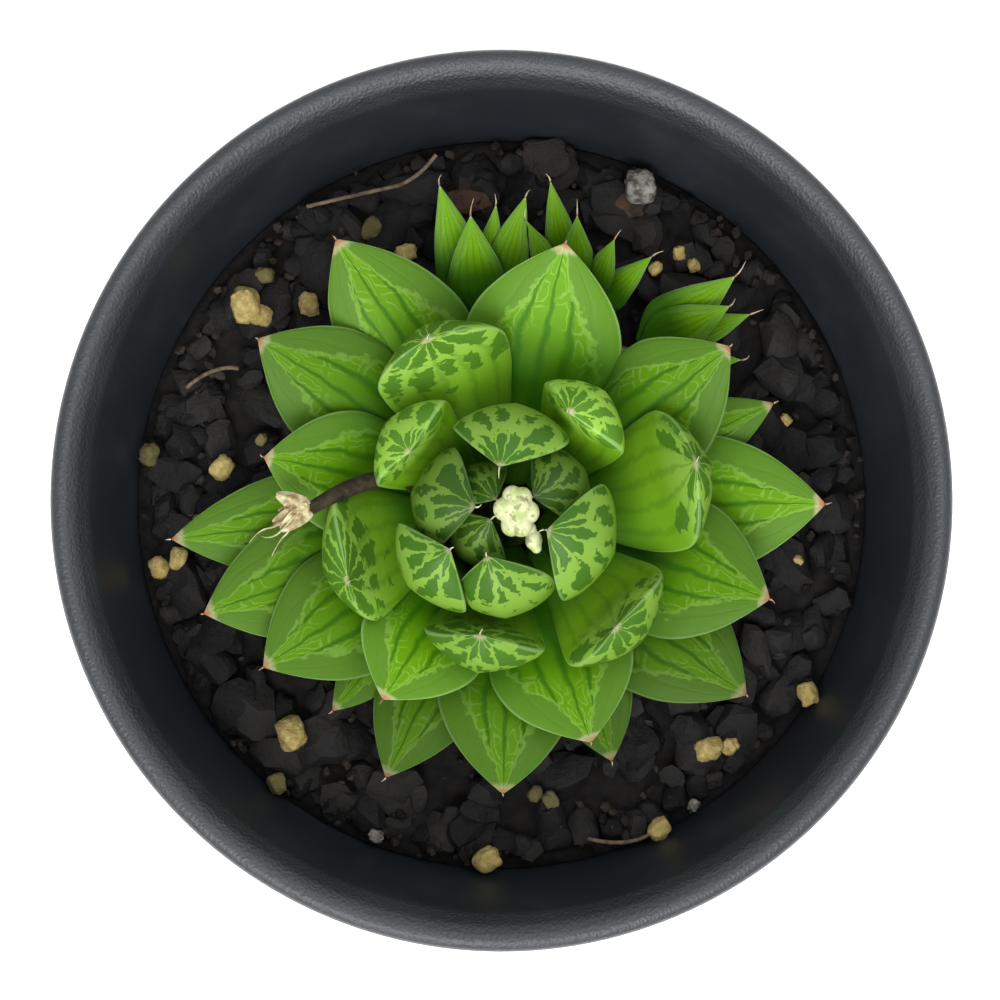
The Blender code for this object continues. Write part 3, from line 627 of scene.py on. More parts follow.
def rounded(points, radius, steps=4):
    """The closed outline with each corner turned into a short arc."""
    made = []
    count = len(points)
    for i, corner in enumerate(points):
        corner = Vector(corner)
        before = Vector(points[i - 1]) - corner
        after = Vector(points[(i + 1) % count]) - corner
        cut = min(radius, 0.45 * before.length, 0.45 * after.length)
        start = corner + before.normalized() * cut
        end = corner + after.normalized() * cut
        for step in range(steps + 1):
            t = step / steps
            made.append(start * (1 - t) ** 2 + corner * 2 * t * (1 - t) + end * t**2)
    return made


def pot_outline():
    crest = POT_HEIGHT
    lip = [
        (42.3 * MM, crest - 0.75 * MM),
        (43.2 * MM, crest - 0.12 * MM),
        (43.9 * MM, crest),
        (44.6 * MM, crest - 0.35 * MM),
        (RIM_RADIUS, crest - 1.5 * MM),
    ]
    skirt_radius = RIM_RADIUS - (SKIRT_HEIGHT - 1.5 * MM) * SKIRT_TAPER
    skirt = [
        (skirt_radius, crest - SKIRT_HEIGHT),
        (skirt_radius - 1.3 * MM, crest - SKIRT_HEIGHT),
        (RIM_RADIUS - 1.5 * MM, crest - 2.6 * MM),
    ]
    outer_top = crest - 2.9 * MM
    outside = [
        (inner_wall_radius(outer_top) + WALL_THICKNESS, outer_top),
        (inner_wall_radius(FOOT_LINE) + WALL_THICKNESS, FOOT_LINE),
        (inner_wall_radius(0.0) + WALL_THICKNESS, 0.0),
        (inner_wall_radius(0.0) + 0.1 * MM, 0.0),
        (inner_wall_radius(0.0) + 0.1 * MM, FLOOR_RAISE),
        (DRAIN_RADIUS, FLOOR_RAISE),
    ]
    floor_top = FLOOR_RAISE + FLOOR_THICKNESS
    inside = [
        (DRAIN_RADIUS, floor_top),
        (inner_wall_radius(floor_top) - 2.0 * MM, floor_top),
        (inner_wall_radius(floor_top + 2.0 * MM), floor_top + 2.0 * MM),
        (LIP_INNER_RADIUS, crest - LIP_DROP),
    ]
    return rounded(lip + skirt + outside + inside, 0.5 * MM)


def turned_mesh(name, outline, steps):
    """A ring-shaped mesh turned about the pot's axis."""
    mesh = bmesh.new()
    rings = [[mesh.verts.new(polar(radius, turn, z)) for radius, z in outline] for turn in turns(steps)]
    for one, two in zip(rings, rings[1:] + rings[:1]):
        band(mesh, one, two)
    return finished_mesh(name, mesh)


def make_pot():
    pot = link("pot_shell", turned_mesh("pot_shell", pot_outline(), POT_STEPS), pot_material())
    cutters = []
    for turn in turns(SMALL_DRAIN_COUNT):
        bpy.ops.mesh.primitive_cylinder_add(vertices=32, radius=SMALL_DRAIN_RADIUS, depth=8 * MM)
        drain = bpy.context.object
        drain.location = polar(SMALL_DRAIN_RING, turn, FLOOR_RAISE)
        cutters.append(drain)
    foot_radius = inner_wall_radius(0.0) + WALL_THICKNESS / 2
    for quarter in turns(NOTCH_COUNT):
        turn = math.pi / 4 + quarter
        bpy.ops.mesh.primitive_cube_add(size=1.0)
        notch = bpy.context.object
        notch.location = polar(foot_radius, turn)
        notch.rotation_euler = (0.0, 0.0, turn)
        notch.scale = (5 * MM, NOTCH_WIDTH, 2 * NOTCH_HEIGHT)
        cutters.append(notch)
    for cutter in cutters:
        cut = pot.modifiers.new("cut", "BOOLEAN")
        cut.object = cutter
    bake_modifiers(pot)
    for cutter in cutters:
        bpy.data.objects.remove(cutter, do_unlink=True)
    pot.data.shade_smooth()
    pot.data.set_sharp_from_angle(angle=math.radians(40))
    finish_piece(pot, "pot", "pot")


def bake_modifiers(obj):
    bpy.context.view_layer.update()
    graph = bpy.context.evaluated_depsgraph_get()
    mesh = bpy.data.meshes.new_from_object(obj.evaluated_get(graph))
    obj.modifiers.clear()
    obj.data = mesh


# ---- leaves
def width_share(t, widest, fullness):
    if t < widest:
        return BASE_WIDTH_SHARE + (1 - BASE_WIDTH_SHARE) * math.sin(math.pi / 2 * (t / widest)) ** 1.15
    return max(0.0, 1 - ((t - widest) / (1 - widest)) ** fullness)


def depth_share(t, widest):
    if t < widest:
        return BASE_DEPTH_SHARE + (1 - BASE_DEPTH_SHARE) * math.sin(math.pi / 2 * t / widest)
    return max(0.0, 1 - ((t - widest) / (1 - widest)) ** 2.2)


def section_point(angle, width, depth):
    """A point of the section: at angles 0 and pi the margins, at pi/2 the face, at 3pi/2 the back."""
    share = math.cos(angle)
    rise = abs(math.sin(angle)) ** FACE_POWER
    if math.sin(angle) >= 0:
        return share * width / 2, depth * ADAXIAL_SHARE * rise
    back = (1 - KEEL) * rise + KEEL * (1 - abs(share)) ** 0.85
    return share * width / 2, -depth * (1 - ADAXIAL_SHARE) * back


class Blade:
    """One leaf: a bent middle line with a section round it, drawn in where a neighbour presses on it."""

    def __init__(self, name, base, belly, tip, direction, size, form, rank):
        self.name = name
        self.base, self.belly, self.tip = base, belly, tip
        turn = math.radians(direction)
        self.level = Vector((-math.sin(turn), math.cos(turn), 0.0))
        self.size = size
        self.widest, self.fullness = form
        self.rank = rank
        self.tone = 1.0
        self.draw = [[1.0] * COARSE_AROUND for _ in COARSE_STATIONS]
        self.middle = [self.spot(t) for t in COARSE_STATIONS]
        self.offsets = [[self.offset(t, angle) for angle in turns(COARSE_AROUND)] for t in COARSE_STATIONS]

    def spot(self, t):
        return self.base * (1 - t) ** 2 + self.belly * 2 * t * (1 - t) + self.tip * t**2

    def frame(self, t):
        along = ((self.belly - self.base) * (1 - t) + (self.tip - self.belly) * t).normalized()
        up = along.cross(self.level).normalized()
        return up.cross(along).normalized(), up

    def offset(self, t, angle):
        side, up = self.frame(t)
        width = self.size[0] * width_share(t, self.widest, self.fullness) * MM
        depth = self.size[1] * depth_share(t, self.widest) * MM
        x, y = section_point(angle, width, depth)
        return side * x + up * y

    def point(self, k, j):
        j %= COARSE_AROUND
        return self.middle[k] + self.offsets[k][j] * self.draw[k][j]

    def points(self):
        found = [self.point(k, j) for k in range(len(COARSE_STATIONS)) for j in range(COARSE_AROUND)]
        return found + [self.tip]

    def faces(self):
        rings, count = len(COARSE_STATIONS), COARSE_AROUND
        made = [tuple(reversed(range(count)))]
        for k in range(rings - 1):
            for j in range(count):
                a, b = k * count + j, k * count + (j + 1) % count
                made.append((a, b, b + count, a + count))
        last = (rings - 1) * count
        made += [(last + j, last + (j + 1) % count, rings * count) for j in range(count)]
        return made

    def tree(self):
        return BVHTree.FromPolygons([tuple(p) for p in self.points()], self.faces())

    def box(self):
        spots = self.points()
        low = Vector(min(p[i] for p in spots) for i in range(3))
        high = Vector(max(p[i] for p in spots) for i in range(3))
        return low, high

    def drawn_in(self, t, angle):
        """The draw at any place, smoothly between the coarse points."""
        k = 0
        while k < len(COARSE_STATIONS) - 2 and COARSE_STATIONS[k + 1] < t:
            k += 1
        gap = COARSE_STATIONS[k + 1] - COARSE_STATIONS[k]
        along = min(1.0, max(0.0, (t - COARSE_STATIONS[k]) / gap))
        along = along * along * (3 - 2 * along)
        turn = (angle / (2 * math.pi) * COARSE_AROUND) % COARSE_AROUND
        j = int(turn)
        part = turn - j
        part = part * part * (3 - 2 * part)
        rows = []
        for row in (self.draw[k], self.draw[k + 1]):
            rows.append(row[j % COARSE_AROUND] * (1 - part) + row[(j + 1) % COARSE_AROUND] * part)
        return rows[0] * (1 - along) + rows[1] * along


def boxes_meet(one, other):
    (low, high), (other_low, other_high) = one, other
    gap = PRESS_CLEARANCE
    return all(low[i] - gap < other_high[i] and other_low[i] - gap < high[i] for i in range(3))


def too_close(spot, tree):
    near, _, _, distance = tree.find_nearest(spot, PRESS_SEARCH)
    if near is None:
        return False
    if distance < PRESS_CLEARANCE:
        return True
    found, normal, _, _ = tree.ray_cast(spot, Vector((0.0, 0.0, 1.0)))
    return found is not None and normal.z > 0


def press(blades):
    """Crowded leaves flatten against one another; the one further out, which grew first, gives way more."""
    floor = SOIL_LEVEL + LEAF_LEAST_HEIGHT
    for _ in range(PRESS_ROUNDS):
        trees = [blade.tree() for blade in blades]
        boxes = [blade.box() for blade in blades]
        moved = 0
        for i, blade in enumerate(blades):
            rivals = [j for j in range(len(blades)) if j != i and boxes_meet(boxes[i], boxes[j])]
            for k in range(1, len(COARSE_STATIONS)):
                for j in range(COARSE_AROUND):
                    spot = blade.point(k, j)
                    step = 1.0
                    if spot.z < floor:
                        step = GROUND_STEP
                    for rival in rivals:
                        if too_close(spot, trees[rival]):
                            weaker = blades[rival].rank < blade.rank
                            step = min(step, FIRM_STEP if weaker else SOFT_STEP)
                    if step < 1.0:
                        moved += 1
                        blade.draw[k][j] = max(LEAST_DRAW, blade.draw[k][j] * step)
        if not moved:
            break
    for blade in blades:
        smooth_draw(blade)


def smooth_draw(blade):
    """Evens out the draw between neighbouring points, so that a pressed face stays fair."""
    rings, count = len(COARSE_STATIONS), COARSE_AROUND
    old = [row[:] for row in blade.draw]
    for k in range(1, rings - 1):
        for j in range(count):
            near = old[k - 1][j] + old[k + 1][j] + old[k][j - 1] + old[k][(j + 1) % count]
            blade.draw[k][j] = 0.5 * old[k][j] + 0.125 * near


def around(centre, turn_degrees, radius, height):
    return centre + polar(radius, math.radians(turn_degrees), height) * MM


def ring_blades(rows, word, form, stem_radius, rank):
    blades = []
    for i, row in enumerate(rows):
        direction, tip_turn, reach, rise, belly_reach, belly_rise, width, depth, base_rise = row
        base = around(PLANT_CENTRE, direction, stem_radius, base_rise)
        belly = around(PLANT_CENTRE, direction, belly_reach, belly_rise)
        tip = around(PLANT_CENTRE, tip_turn, reach, rise)
        height_rank = rank + rise * 0.02
        name = f"leaf_{word}_{i + 1:02d}"
        blade = Blade(name, base, belly, tip, direction, (width, depth), form, height_rank)
        blade.tone = LEAF_TONE_AND_SHADE[word][i]
        blades.append(blade)
    return blades


def offset_blades():
    blades = []
    for i, (place, rows) in enumerate(OFFSETS):
        centre = PLANT_CENTRE + Vector((place[0] * MM, place[1] * MM, 0.0))
        for j, (direction, reach, rise, belly_rise, width, depth, base_rise) in enumerate(rows):
            base = around(centre, direction, OFFSET_STEM_RADIUS + 1.0, base_rise)
            belly = around(centre, direction, 0.55 * reach, belly_rise)
            tip = around(centre, direction, reach, rise)
            name = f"leaf_offset_{i + 1}_{j + 1}"
            blades.append(Blade(name, base, belly, tip, direction, (width, depth), OFFSET_FORM, 0.0))
    return blades


def awn_points(blade, length, chance):
    """The soft bristle that runs on from a leaf's tip, curling a little."""
    start = blade.tip
    ahead = (blade.tip - blade.spot(0.93)).normalized()
    bend = Vector((chance.uniform(-1, 1), chance.uniform(-1, 1), chance.uniform(0.1, 0.9))).normalized()
    points = [start + ahead * length * t + bend * length * 0.45 * t * t for t in (0.0, 0.33, 0.66, 1.0)]
    for point in points:
        point.z = min(point.z, CAD_BOX[1][2] - AWN_HEADROOM)
    return points


def add_awn(mesh, points):
    """A tapering bristle along the points, with the awn material; returns its vertices."""
    rings = []
    last = len(points) - 1
    for i, spot in enumerate(points):
        ahead = (points[min(i + 1, last)] - points[max(i - 1, 0)]).normalized()
        side = ahead.orthogonal().normalized()
        up = ahead.cross(side)
        size = AWN_RADIUS * (1 - 0.85 * i / last)
        spots = [spot + (side * math.cos(a) + up * math.sin(a)) * size for a in turns(6)]
        rings.append([mesh.verts.new(place) for place in spots])
    faces = [mesh.faces.new(rings[0][::-1]), mesh.faces.new(rings[-1])]
    for one, two in zip(rings, rings[1:]):
        faces += band(mesh, one, two)
    for face in faces:
        face.material_index = 1
        face.smooth = True
    return [v for ring in rings for v in ring]


def leaf_mesh(blade, chance, awn_length):
    """The full leaf at close spacing, with pattern coordinates: across -1 to 1, along 0 to 1, a seed."""
    mesh = bmesh.new()
    pattern = mesh.verts.layers.float_vector.new("pattern")
    side_layer = mesh.verts.layers.float_vector.new("side")
    seed = chance.uniform(0, 20)
    window_reach = WINDOW_REACH.get(blade.name, 1.0)
    rings = []
    for i in range(FINE_ALONG):
        t = TIP_START * (1 - (1 - i / (FINE_ALONG - 1)) ** TIP_CROWDING)
        middle = blade.spot(t)
        ring = []
        for angle in turns(FINE_AROUND):
            offset = blade.offset(t, angle) * blade.drawn_in(t, angle)
            spot = middle + offset
            swell = noise.noise(spot / SWELL_SPACING + Vector((seed, 0, 0))) * SWELL_HEIGHT
            swell *= min(1.0, 3 * (1 - t))
            if offset.length > 0:
                spot += offset.normalized() * swell
            vertex = mesh.verts.new(spot)
            vertex[pattern] = Vector((math.cos(angle), t, seed))
            # The second value carries the leaf's multiplier, which is partly painted light and shade
            vertex[side_layer] = Vector((0.5 - 0.5 * math.sin(angle), blade.tone, window_reach))
            ring.append(vertex)
        rings.append(ring)
    tip = mesh.verts.new(blade.tip)
    tip[pattern] = Vector((0.0, 1.0, seed))
    tip[side_layer] = Vector((0.5, blade.tone, window_reach))
    faces = [mesh.faces.new(rings[0][::-1])]
    for one, two in zip(rings, rings[1:]):
        faces += band(mesh, one, two)
    last = rings[-1]
    faces += [mesh.faces.new((last[j - 1], last[j], tip)) for j in range(FINE_AROUND)]
    for face in faces:
        face.smooth = True
    for vertex in add_awn(mesh, awn_points(blade, awn_length * MM, chance)):
        vertex[pattern] = Vector((0.0, 1.0, seed))
    return finished_mesh(blade.name, mesh)


def make_leaves():
    inner = ring_blades(INNER_LEAVES, "inner", CLOSED_FORM, INNER_BASE, 3.0)
    middle = ring_blades(MIDDLE_LEAVES, "middle", CLOSED_FORM, MIDDLE_BASE, 2.0)
    outer = ring_blades(OUTER_LEAVES, "outer", OPEN_FORM, OUTER_BASE, 1.0)
    offsets = offset_blades()
    press(inner + middle + outer + offsets)
    pale_awn = plain_material("awn_pale", *AWN_PALE, scale=700.0, roughness=0.5)
    tan_awn = plain_material("awn_tan", *AWN_TAN, scale=700.0, roughness=0.5)
    kinds = (
        (inner, window_leaf_material("leaf_window_inner", **INNER_LOOK), "window_leaf"),
        (middle, window_leaf_material("leaf_window_middle", **MIDDLE_LOOK), "window_leaf"),
        (outer, face_leaf_material("leaf_open", **OPEN_LOOK), "leaf"),
        (offsets, face_leaf_material("leaf_slender", **SLENDER_LOOK), "offset_leaf"),
    )
    chance = random.Random(SEEDS["leaves"])
    for blades, material, slot in kinds:
        for blade in blades:
            length = chance.uniform(*AWN_LENGTHS[slot])
            leaf = link(f"{blade.name}_skin", leaf_mesh(blade, chance, length), material)
            leaf.data.materials.append(pale_awn if slot == "window_leaf" else tan_awn)
            finish_piece(leaf, slot, blade.name)


# ---- soil
def lump(mesh, pattern, centre, radii, turn, chance, rough, subdivisions=2, shade=None):
    """An irregular, blocky piece: a ball pushed towards a box, with broken faces."""
    made = bmesh.ops.create_icosphere(mesh, subdivisions=subdivisions, radius=1.0)
    shift = Vector((chance.uniform(0, 90), chance.uniform(0, 90), chance.uniform(0, 90)))
    if shade is None:
        shade = chance.random()
    turn_matrix = turn.to_matrix()
    for vertex in made["verts"]:
        unit = vertex.co.normalized()
        most = max(abs(unit.x), abs(unit.y), abs(unit.z))
        blocky = unit * (0.55 + 0.45 / most * 0.8)
        push = 1 + rough * noise.noise(unit * 1.5 + shift) + 0.4 * rough * noise.noise(unit * 4.0 + shift)
        spot = Vector(blocky[i] * radii[i] * push for i in range(3))
        vertex.co = centre + turn_matrix @ spot
        vertex[pattern] = Vector((0.0, 0.0, shade))


def random_turn(chance, tilt):
    return Euler((chance.uniform(-tilt, tilt), chance.uniform(-tilt, tilt), chance.uniform(0, 2 * math.pi)))


def soil_radius_at(z):
    return inner_wall_radius(z) - SOIL_GAP


def make_soil_bed():
    """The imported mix: uneven top, sides that follow the wall."""
    mesh = bmesh.new()
    edge = soil_radius_at(SOIL_LEVEL - SOIL_BED_DROP / 2)
    middle = mesh.verts.new(soil_top_point(0.0, 0.0))
    grid = []
    for i in range(1, SOIL_RINGS - 1):
        radius = edge * i / (SOIL_RINGS - 1)
        grid.append([mesh.verts.new(soil_top_point(radius, turn)) for turn in turns(SOIL_STEPS)])
    bottom = FLOOR_RAISE + FLOOR_THICKNESS + 0.3 * MM
    low_edge = soil_radius_at(bottom) - 2.6 * MM
    for radius, z in ((edge, SOIL_LEVEL - SOIL_BED_DROP), (low_edge, bottom)):
        grid.append([mesh.verts.new(polar(radius, turn, z)) for turn in turns(SOIL_STEPS)])
    first = grid[0]
    for j in range(SOIL_STEPS):
        mesh.faces.new((middle, first[j - 1], first[j]))
    for one, two in zip(grid, grid[1:]):
        band(mesh, one, two)
    mesh.faces.new(grid[-1][::-1])
    made = finished_mesh("soil_bed", mesh)
    made.shade_smooth()
    bed = link("soil_bed", made, plain_material("soil_fines", *SOIL_FINES, scale=700.0, roughness=0.9))
    finish_piece(bed, "soil", "soil")


def soil_top_point(radius, turn):
    spot = polar(radius, turn, SOIL_LEVEL - SOIL_BED_DROP)
    spot.z += (noise.noise(spot / (4.0 * MM)) + noise.noise(spot / (1.4 * MM)) * 0.5) * MM
    return spot


def scatter_spot(chance, margin):
    while True:
        x, y = chance.uniform(-1, 1), chance.uniform(-1, 1)
        if x * x + y * y < 1:
            reach = soil_radius_at(SOIL_LEVEL) - margin
            return Vector((x * reach, y * reach, SOIL_LEVEL))


def new_lumps():
    mesh = bmesh.new()
    return mesh, mesh.verts.layers.float_vector.new("pattern")


def lumps_object(name, mesh, material, smooth_angle):
    made = finished_mesh(name, mesh)
    made.shade_smooth()
    made.set_sharp_from_angle(angle=math.radians(smooth_angle))
    finish_piece(link(name, made, material), "soil")


def make_bark():
    chance = random.Random(SEEDS["bark"])
    mesh, pattern = new_lumps()
    for _ in range(BARK_COUNT):
        size = chance.uniform(*BARK_SIZES) * MM
        radii = [size * chance.uniform(*share) for share in BARK_SHARES]
        spot = scatter_spot(chance, size * 1.2)
        spot.z += chance.uniform(-1.3, 0.1) * MM
        lump(mesh, pattern, spot, radii, random_turn(chance, 0.5), chance, rough=0.45)
    for i in range(EDGE_BARK_COUNT):
        size = chance.uniform(*EDGE_BARK_SIZES) * MM
        turn = 2 * math.pi * (i + chance.uniform(-0.4, 0.4)) / EDGE_BARK_COUNT
        reach = soil_radius_at(SOIL_LEVEL - 1.5 * MM) - size * chance.uniform(1.15, 1.5)
        spot = polar(reach, turn, SOIL_LEVEL - chance.uniform(0.6, 1.5) * MM)
        lump(mesh, pattern, spot, scaled(size, CHIP_SHARES), random_turn(chance, 0.5), chance, rough=0.4)
    for x, y, long, wide, shade in LARGE_BARK:
        spot = Vector((x * MM, y * MM, SOIL_LEVEL - 0.4 * MM))
        radii = (long * MM, wide * MM, 0.55 * wide * MM)
        turn = Euler((0.1, -0.1, 0.15))
        lump(mesh, pattern, spot, radii, turn, chance, rough=0.4, subdivisions=3, shade=shade)
    lumps_object("bark_pieces", mesh, bark_material("bark", *BARK), smooth_angle=30)
    mesh, pattern = new_lumps()
    for _ in range(GRIT_COUNT):
        size = chance.uniform(*GRIT_SIZES) * MM
        spot = scatter_spot(chance, size)
        spot.z += chance.uniform(-0.9, 0.1) * MM
        turn = random_turn(chance, 1.0)
        lump(mesh, pattern, spot, scaled(size, CHIP_SHARES), turn, chance, rough=0.4, subdivisions=1)
    lumps_object("grit", mesh, bark_material("grit", *GRIT), smooth_angle=30)


def scaled(size, shares):
    return [size * share for share in shares]


def make_granules():
    chance = random.Random(SEEDS["granules"])
    mesh, pattern = new_lumps()
    for x, y, size, bright in GRANULES:
        spot = Vector((x * MM, y * MM, SOIL_LEVEL + (0.7 * size + 0.15 * bright - 0.2) * MM))
        radii = scaled(size * MM, GRANULE_SHARES)
        turn = random_turn(chance, 0.5)
        lump(mesh, pattern, spot, radii, turn, chance, rough=0.28, subdivisions=3, shade=bright)
    lumps_object("ochre_granules", mesh, granule_material(), smooth_angle=60)
    mesh, pattern = new_lumps()
    for x, y, size in STONES:
        spot = Vector((x * MM, y * MM, SOIL_LEVEL + 0.5 * size * MM))
        radii = scaled(size * MM, STONE_SHARES)
        lump(mesh, pattern, spot, radii, random_turn(chance, 0.4), chance, rough=0.35, subdivisions=3)
    stone = plain_material("stone", *STONE_GREY, scale=1200.0, roughness=0.85, bump=0.0005)
    lumps_object("grey_stones", mesh, stone, smooth_angle=60)


def granule_material():
    """Porous ochre clay, darker and duller on the granules given a low brightness."""
    graph = Graph("granule")
    place = graph.place()
    _, _, bright = graph.attribute("pattern")
    pores = graph.noise(place, 1500.0, 5.0, 0.65)
    clean = graph.mix(graph.smooth(pores, 0.35, 0.7), *OCHRE)
    colour = graph.mix(graph.smooth(bright, 0.15, 0.85), OCHRE_DULL, clean)
    graph.set(Base_Color=colour, Roughness=0.85)
    graph.bump(pores, 0.8, 0.0004)
    return graph.material


# ---- flower parts
def plant_point(spot):
    return PLANT_CENTRE + Vector(spot) * MM


def tube(name, points, radii, material, resolution=6):
    """A round, tapering stalk along the points, with its radii in millimetres."""
    curve = bpy.data.curves.new(name, "CURVE")
    curve.dimensions = "3D"
    curve.bevel_depth = 1.0
    curve.bevel_resolution = resolution
    curve.resolution_u = 10
    curve.use_fill_caps = True
    spline = curve.splines.new("NURBS")
    spline.points.add(len(points) - 1)
    spline.use_endpoint_u = True
    spline.order_u = 3
    for spot, at, radius in zip(spline.points, points, radii):
        spot.co = (*at, 1.0)
        spot.radius = radius * MM
    guide = bpy.data.objects.new(name, curve)
    bpy.context.scene.collection.objects.link(guide)
    bpy.context.view_layer.update()
    graph = bpy.context.evaluated_depsgraph_get()
    mesh = bpy.data.meshes.new_from_object(guide.evaluated_get(graph))
    bpy.data.objects.remove(guide, do_unlink=True)
    mesh.materials.clear()
    mesh.shade_smooth()
    return link(name, mesh, material)


def fused_lumps(name, balls, material, voxel):
    """Overlapping balls fused into one soft, knobbly form."""
    mesh = bmesh.new()
    for centre, radii in balls:
        ball = bmesh.ops.create_icosphere(mesh, subdivisions=3, radius=1.0)
        for vertex in ball["verts"]:
            vertex.co = plant_point(centre) + Vector(c * r for c, r in zip(vertex.co, radii)) * MM
    obj = link(name, finished_mesh(name, mesh), material)
    fuse = obj.modifiers.new("fuse", "REMESH")
    fuse.mode = "VOXEL"
    fuse.voxel_size = voxel
    fuse.use_smooth_shade = True
    soften = obj.modifiers.new("soften", "SMOOTH")
    soften.iterations = 5
    bake_modifiers(obj)
    obj.data.materials.clear()
    obj.data.materials.append(material)
    obj.data.shade_smooth()
    return obj


def bud_material():
    graph = Graph("bud_skin")
    place = graph.place()
    blotch = graph.noise(place, 900.0, 2.0)
    patch = graph.noise(place, 1300.0, 3.0)
    colour = graph.mix(graph.smooth(blotch, 0.42, 0.62), *BUD)
    colour = graph.mix(graph.smooth(patch, 0.56, 0.64) * 0.75, colour, BUD_PATCH)
    graph.set(Base_Color=colour, Roughness=0.5)
    graph.set(Subsurface_Weight=0.25, Subsurface_Radius=(0.8, 0.8, 0.4), Subsurface_Scale=0.0008)
    graph.bump(blotch, 0.3, 0.0003)
    return graph.material


def make_flower_parts():
    skin = bud_material()
    x, y, z = BUD_CENTRE
    chance = random.Random(SEEDS["buds"])
    balls = [(BUD_CENTRE, (1.75, 1.95, 1.5))]
    for sixth in turns(6):
        turn = sixth + chance.uniform(-0.2, 0.2)
        lift = chance.uniform(-0.4, 0.5)
        size = chance.uniform(0.95, 1.15)
        place = (x + 1.25 * math.cos(turn), y + 1.45 * math.sin(turn), z + lift)
        balls.append((place, (size, size * 1.1, size)))
    for third in turns(3):
        turn = third + 0.5
        place = (x + 0.65 * math.cos(turn), y + 0.8 * math.sin(turn), z + 0.95)
        balls.append((place, (0.75, 0.85, 0.6)))
    finish_piece(fused_lumps("bud_cluster", balls, skin, 0.11 * MM), "bud", "flower_bud_cluster")
    x, y, z = SIDE_BUD_CENTRE
    balls = [
        (SIDE_BUD_CENTRE, (0.85, 1.0, 0.9)),
        ((x - 0.3, y + 0.9, z), (0.6, 0.9, 0.6)),
        ((x + 0.25, y - 0.7, z + 0.1), (0.55, 0.6, 0.55)),
    ]
    finish_piece(fused_lumps("bud_side", balls, skin, 0.09 * MM), "bud", "flower_bud_side")
    stalk = tube("bud_stalk", [plant_point(p) for p in FLOWER_STALK], (0.9, 0.8, 0.7), skin)
    finish_piece(stalk, "bud", "flower_stalk")
    bark = plain_material("dry_stalk", *DRY_STALK, scale=900.0, roughness=0.75)
    old = tube("old_stalk", [plant_point(p) for p in OLD_STALK], (1.0, 1.0, 0.9, 0.8, 0.65), bark)
    finish_piece(old, "old_stalk", "old_flower_stalk")
    make_bract()


def make_bract():
    """Crumpled, papery flower remains at the end of the old stalk, with thin curled threads."""
    paper = plain_material("papery", *PAPERY, scale=700.0, roughness=0.75, bump=0.0004)
    chance = random.Random(SEEDS["bract"])
    start = plant_point(OLD_STALK[-1])
    mesh = bmesh.new()
    for i in range(BRACT_PETALS):
        turn = math.radians(BRACT_DIRECTION + (i - BRACT_PETALS // 2) * BRACT_FAN)
        ahead = polar(1.0, turn, chance.uniform(-0.2, 0.25)).normalized()
        side = Vector((-ahead.y, ahead.x, 0.0)).normalized()
        up = ahead.cross(side)
        length = chance.uniform(2.4, 4.3) * MM
        rows = []
        for a in range(BRACT_ROWS):
            t = a / (BRACT_ROWS - 1)
            width = BRACT_WIDTH * math.sin(math.pi * min(0.95, 0.20 + 0.76 * t)) ** 0.7
            row = []
            for b in range(-BRACT_HALF_COLUMNS, BRACT_HALF_COLUMNS + 1):
                s = b / BRACT_HALF_COLUMNS
                crease = noise.noise(Vector((4.0 * t + i, 2.2 * s, 0.7 * i))) * 0.7
                fold = (crease + 0.35 * math.cos(3.4 * s + i) + 0.25 * math.sin(6 * t + i)) * MM
                ragged = 1 + 0.25 * noise.noise(Vector((3.0 * s, 9.0 * i, 0.0))) * t
                spot = start + ahead * length * t * ragged + side * width * s + up * fold
                row.append(mesh.verts.new(spot))
            rows.append(row)
        for one, two in zip(rows, rows[1:]):
            for b in range(2 * BRACT_HALF_COLUMNS):
                mesh.faces.new((one[b], one[b + 1], two[b + 1], two[b]))
    obj = link("bract", finished_mesh("bract", mesh, outward=False), paper)
    thick = obj.modifiers.new("thick", "SOLIDIFY")
    thick.thickness = BRACT_THICKNESS
    smooth = obj.modifiers.new("smooth", "SUBSURF")
    smooth.levels = smooth.render_levels = 1
    bake_modifiers(obj)
    obj.data.shade_smooth()
    finish_piece(obj, "dry", "dried_bract")
    for i, row in enumerate(BRACT_THREADS):
        points = [start - Vector((1.0 * MM, 0, 0))] + [plant_point(spot) for spot in row]
        finish_piece(tube(f"thread_{i + 1}", points, (0.11, 0.09, 0.07, 0.03), paper, 2), "dry")


def make_fibres():
    brown = plain_material("fibre", *FIBRE_BROWN, scale=900.0, roughness=0.8)
    ground = Vector((0.0, 0.0, SOIL_LEVEL - 0.4 * MM))
    for i, row in enumerate(FIBRES):
        points = [Vector(p) * MM + ground for p in row]
        finish_piece(tube(f"root_fibre_{i + 1}", points, [0.22] * len(points), brown, 2), "soil")


def finish_hidden_stems():
    """The stems keep their CAD form, mostly hidden by the leaves."""
    stem = plain_material("stem_skin", *STEM_GREEN, scale=600.0, roughness=0.6)
    for name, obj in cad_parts.items():
        if name == "main_stem" or name.startswith("offset_stem"):
            obj.data.materials.clear()
            obj.data.materials.append(stem)


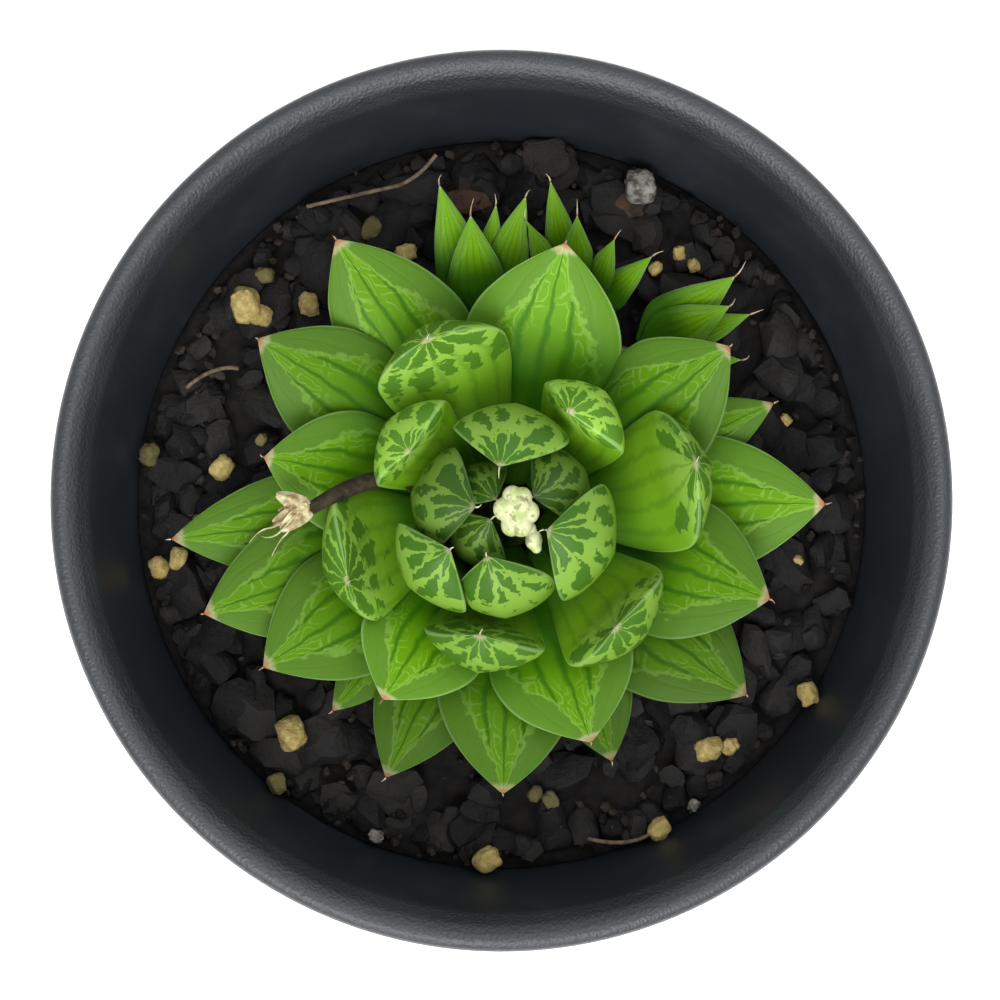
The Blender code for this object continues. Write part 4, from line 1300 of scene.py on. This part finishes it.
# ---- stage
FLOOR_GAP = 0.2 * MM
LIGHT_SIZE = 0.50
LIGHTS = (("key", (-0.08, -0.42, 0.60), 7.0), ("fill", (0.20, 0.25, 0.70), 2.0))
CAMERA_LEAN = math.radians(2.0)
CAMERA_DISTANCE = 0.25
CAMERA_TARGET = Vector((-0.15 * MM, -0.25 * MM, POT_HEIGHT))
VIEW_WIDTH = 0.0990
SENSOR_WIDTH = 36.0


def make_stage():
    bpy.ops.mesh.primitive_plane_add(size=3.0, location=(0, 0, -FLOOR_GAP))
    floor = bpy.context.object
    floor.name = "floor"
    graph = Graph("floor_white")
    mottle = graph.noise(graph.place(), 3.0, 2.0)
    graph.set(Base_Color=graph.mix(mottle, *FLOOR_WHITE), Roughness=0.7)
    floor.data.materials.append(graph.material)
    world = bpy.data.worlds.new("studio")
    bpy.context.scene.world = world
    world.use_nodes = True
    background = world.node_tree.nodes["Background"]
    background.inputs["Color"].default_value = (1.0, 1.0, 1.0, 1.0)
    background.inputs["Strength"].default_value = 1.0
    for name, place, power in LIGHTS:
        area_light(name, place, power)


def area_light(name, place, power):
    data = bpy.data.lights.new(name, "AREA")
    data.size = LIGHT_SIZE
    data.energy = power
    light = bpy.data.objects.new(name, data)
    bpy.context.scene.collection.objects.link(light)
    light.location = place
    light.rotation_euler = (Vector((0, 0, POT_HEIGHT)) - Vector(place)).to_track_quat("-Z", "Y").to_euler()


def make_camera():
    """Straight down from about a quarter of a metre, leaning very slightly from the front."""
    data = bpy.data.cameras.new("camera")
    camera = bpy.data.objects.new("camera", data)
    bpy.context.scene.collection.objects.link(camera)
    lean = Vector((0.0, -math.sin(CAMERA_LEAN), math.cos(CAMERA_LEAN)))
    camera.location = CAMERA_TARGET + lean * CAMERA_DISTANCE
    camera.rotation_euler = (CAMERA_TARGET - camera.location).to_track_quat("-Z", "Y").to_euler()
    data.sensor_width = SENSOR_WIDTH
    data.lens = SENSOR_WIDTH * CAMERA_DISTANCE / VIEW_WIDTH
    data.clip_start = 0.01
    bpy.context.scene.camera = camera
    bpy.context.scene.view_settings.view_transform = "Standard"


make_camera()
make_stage()
make_pot()
make_soil_bed()
make_bark()
make_granules()
make_leaves()
make_flower_parts()
make_fibres()
finish_hidden_stems()
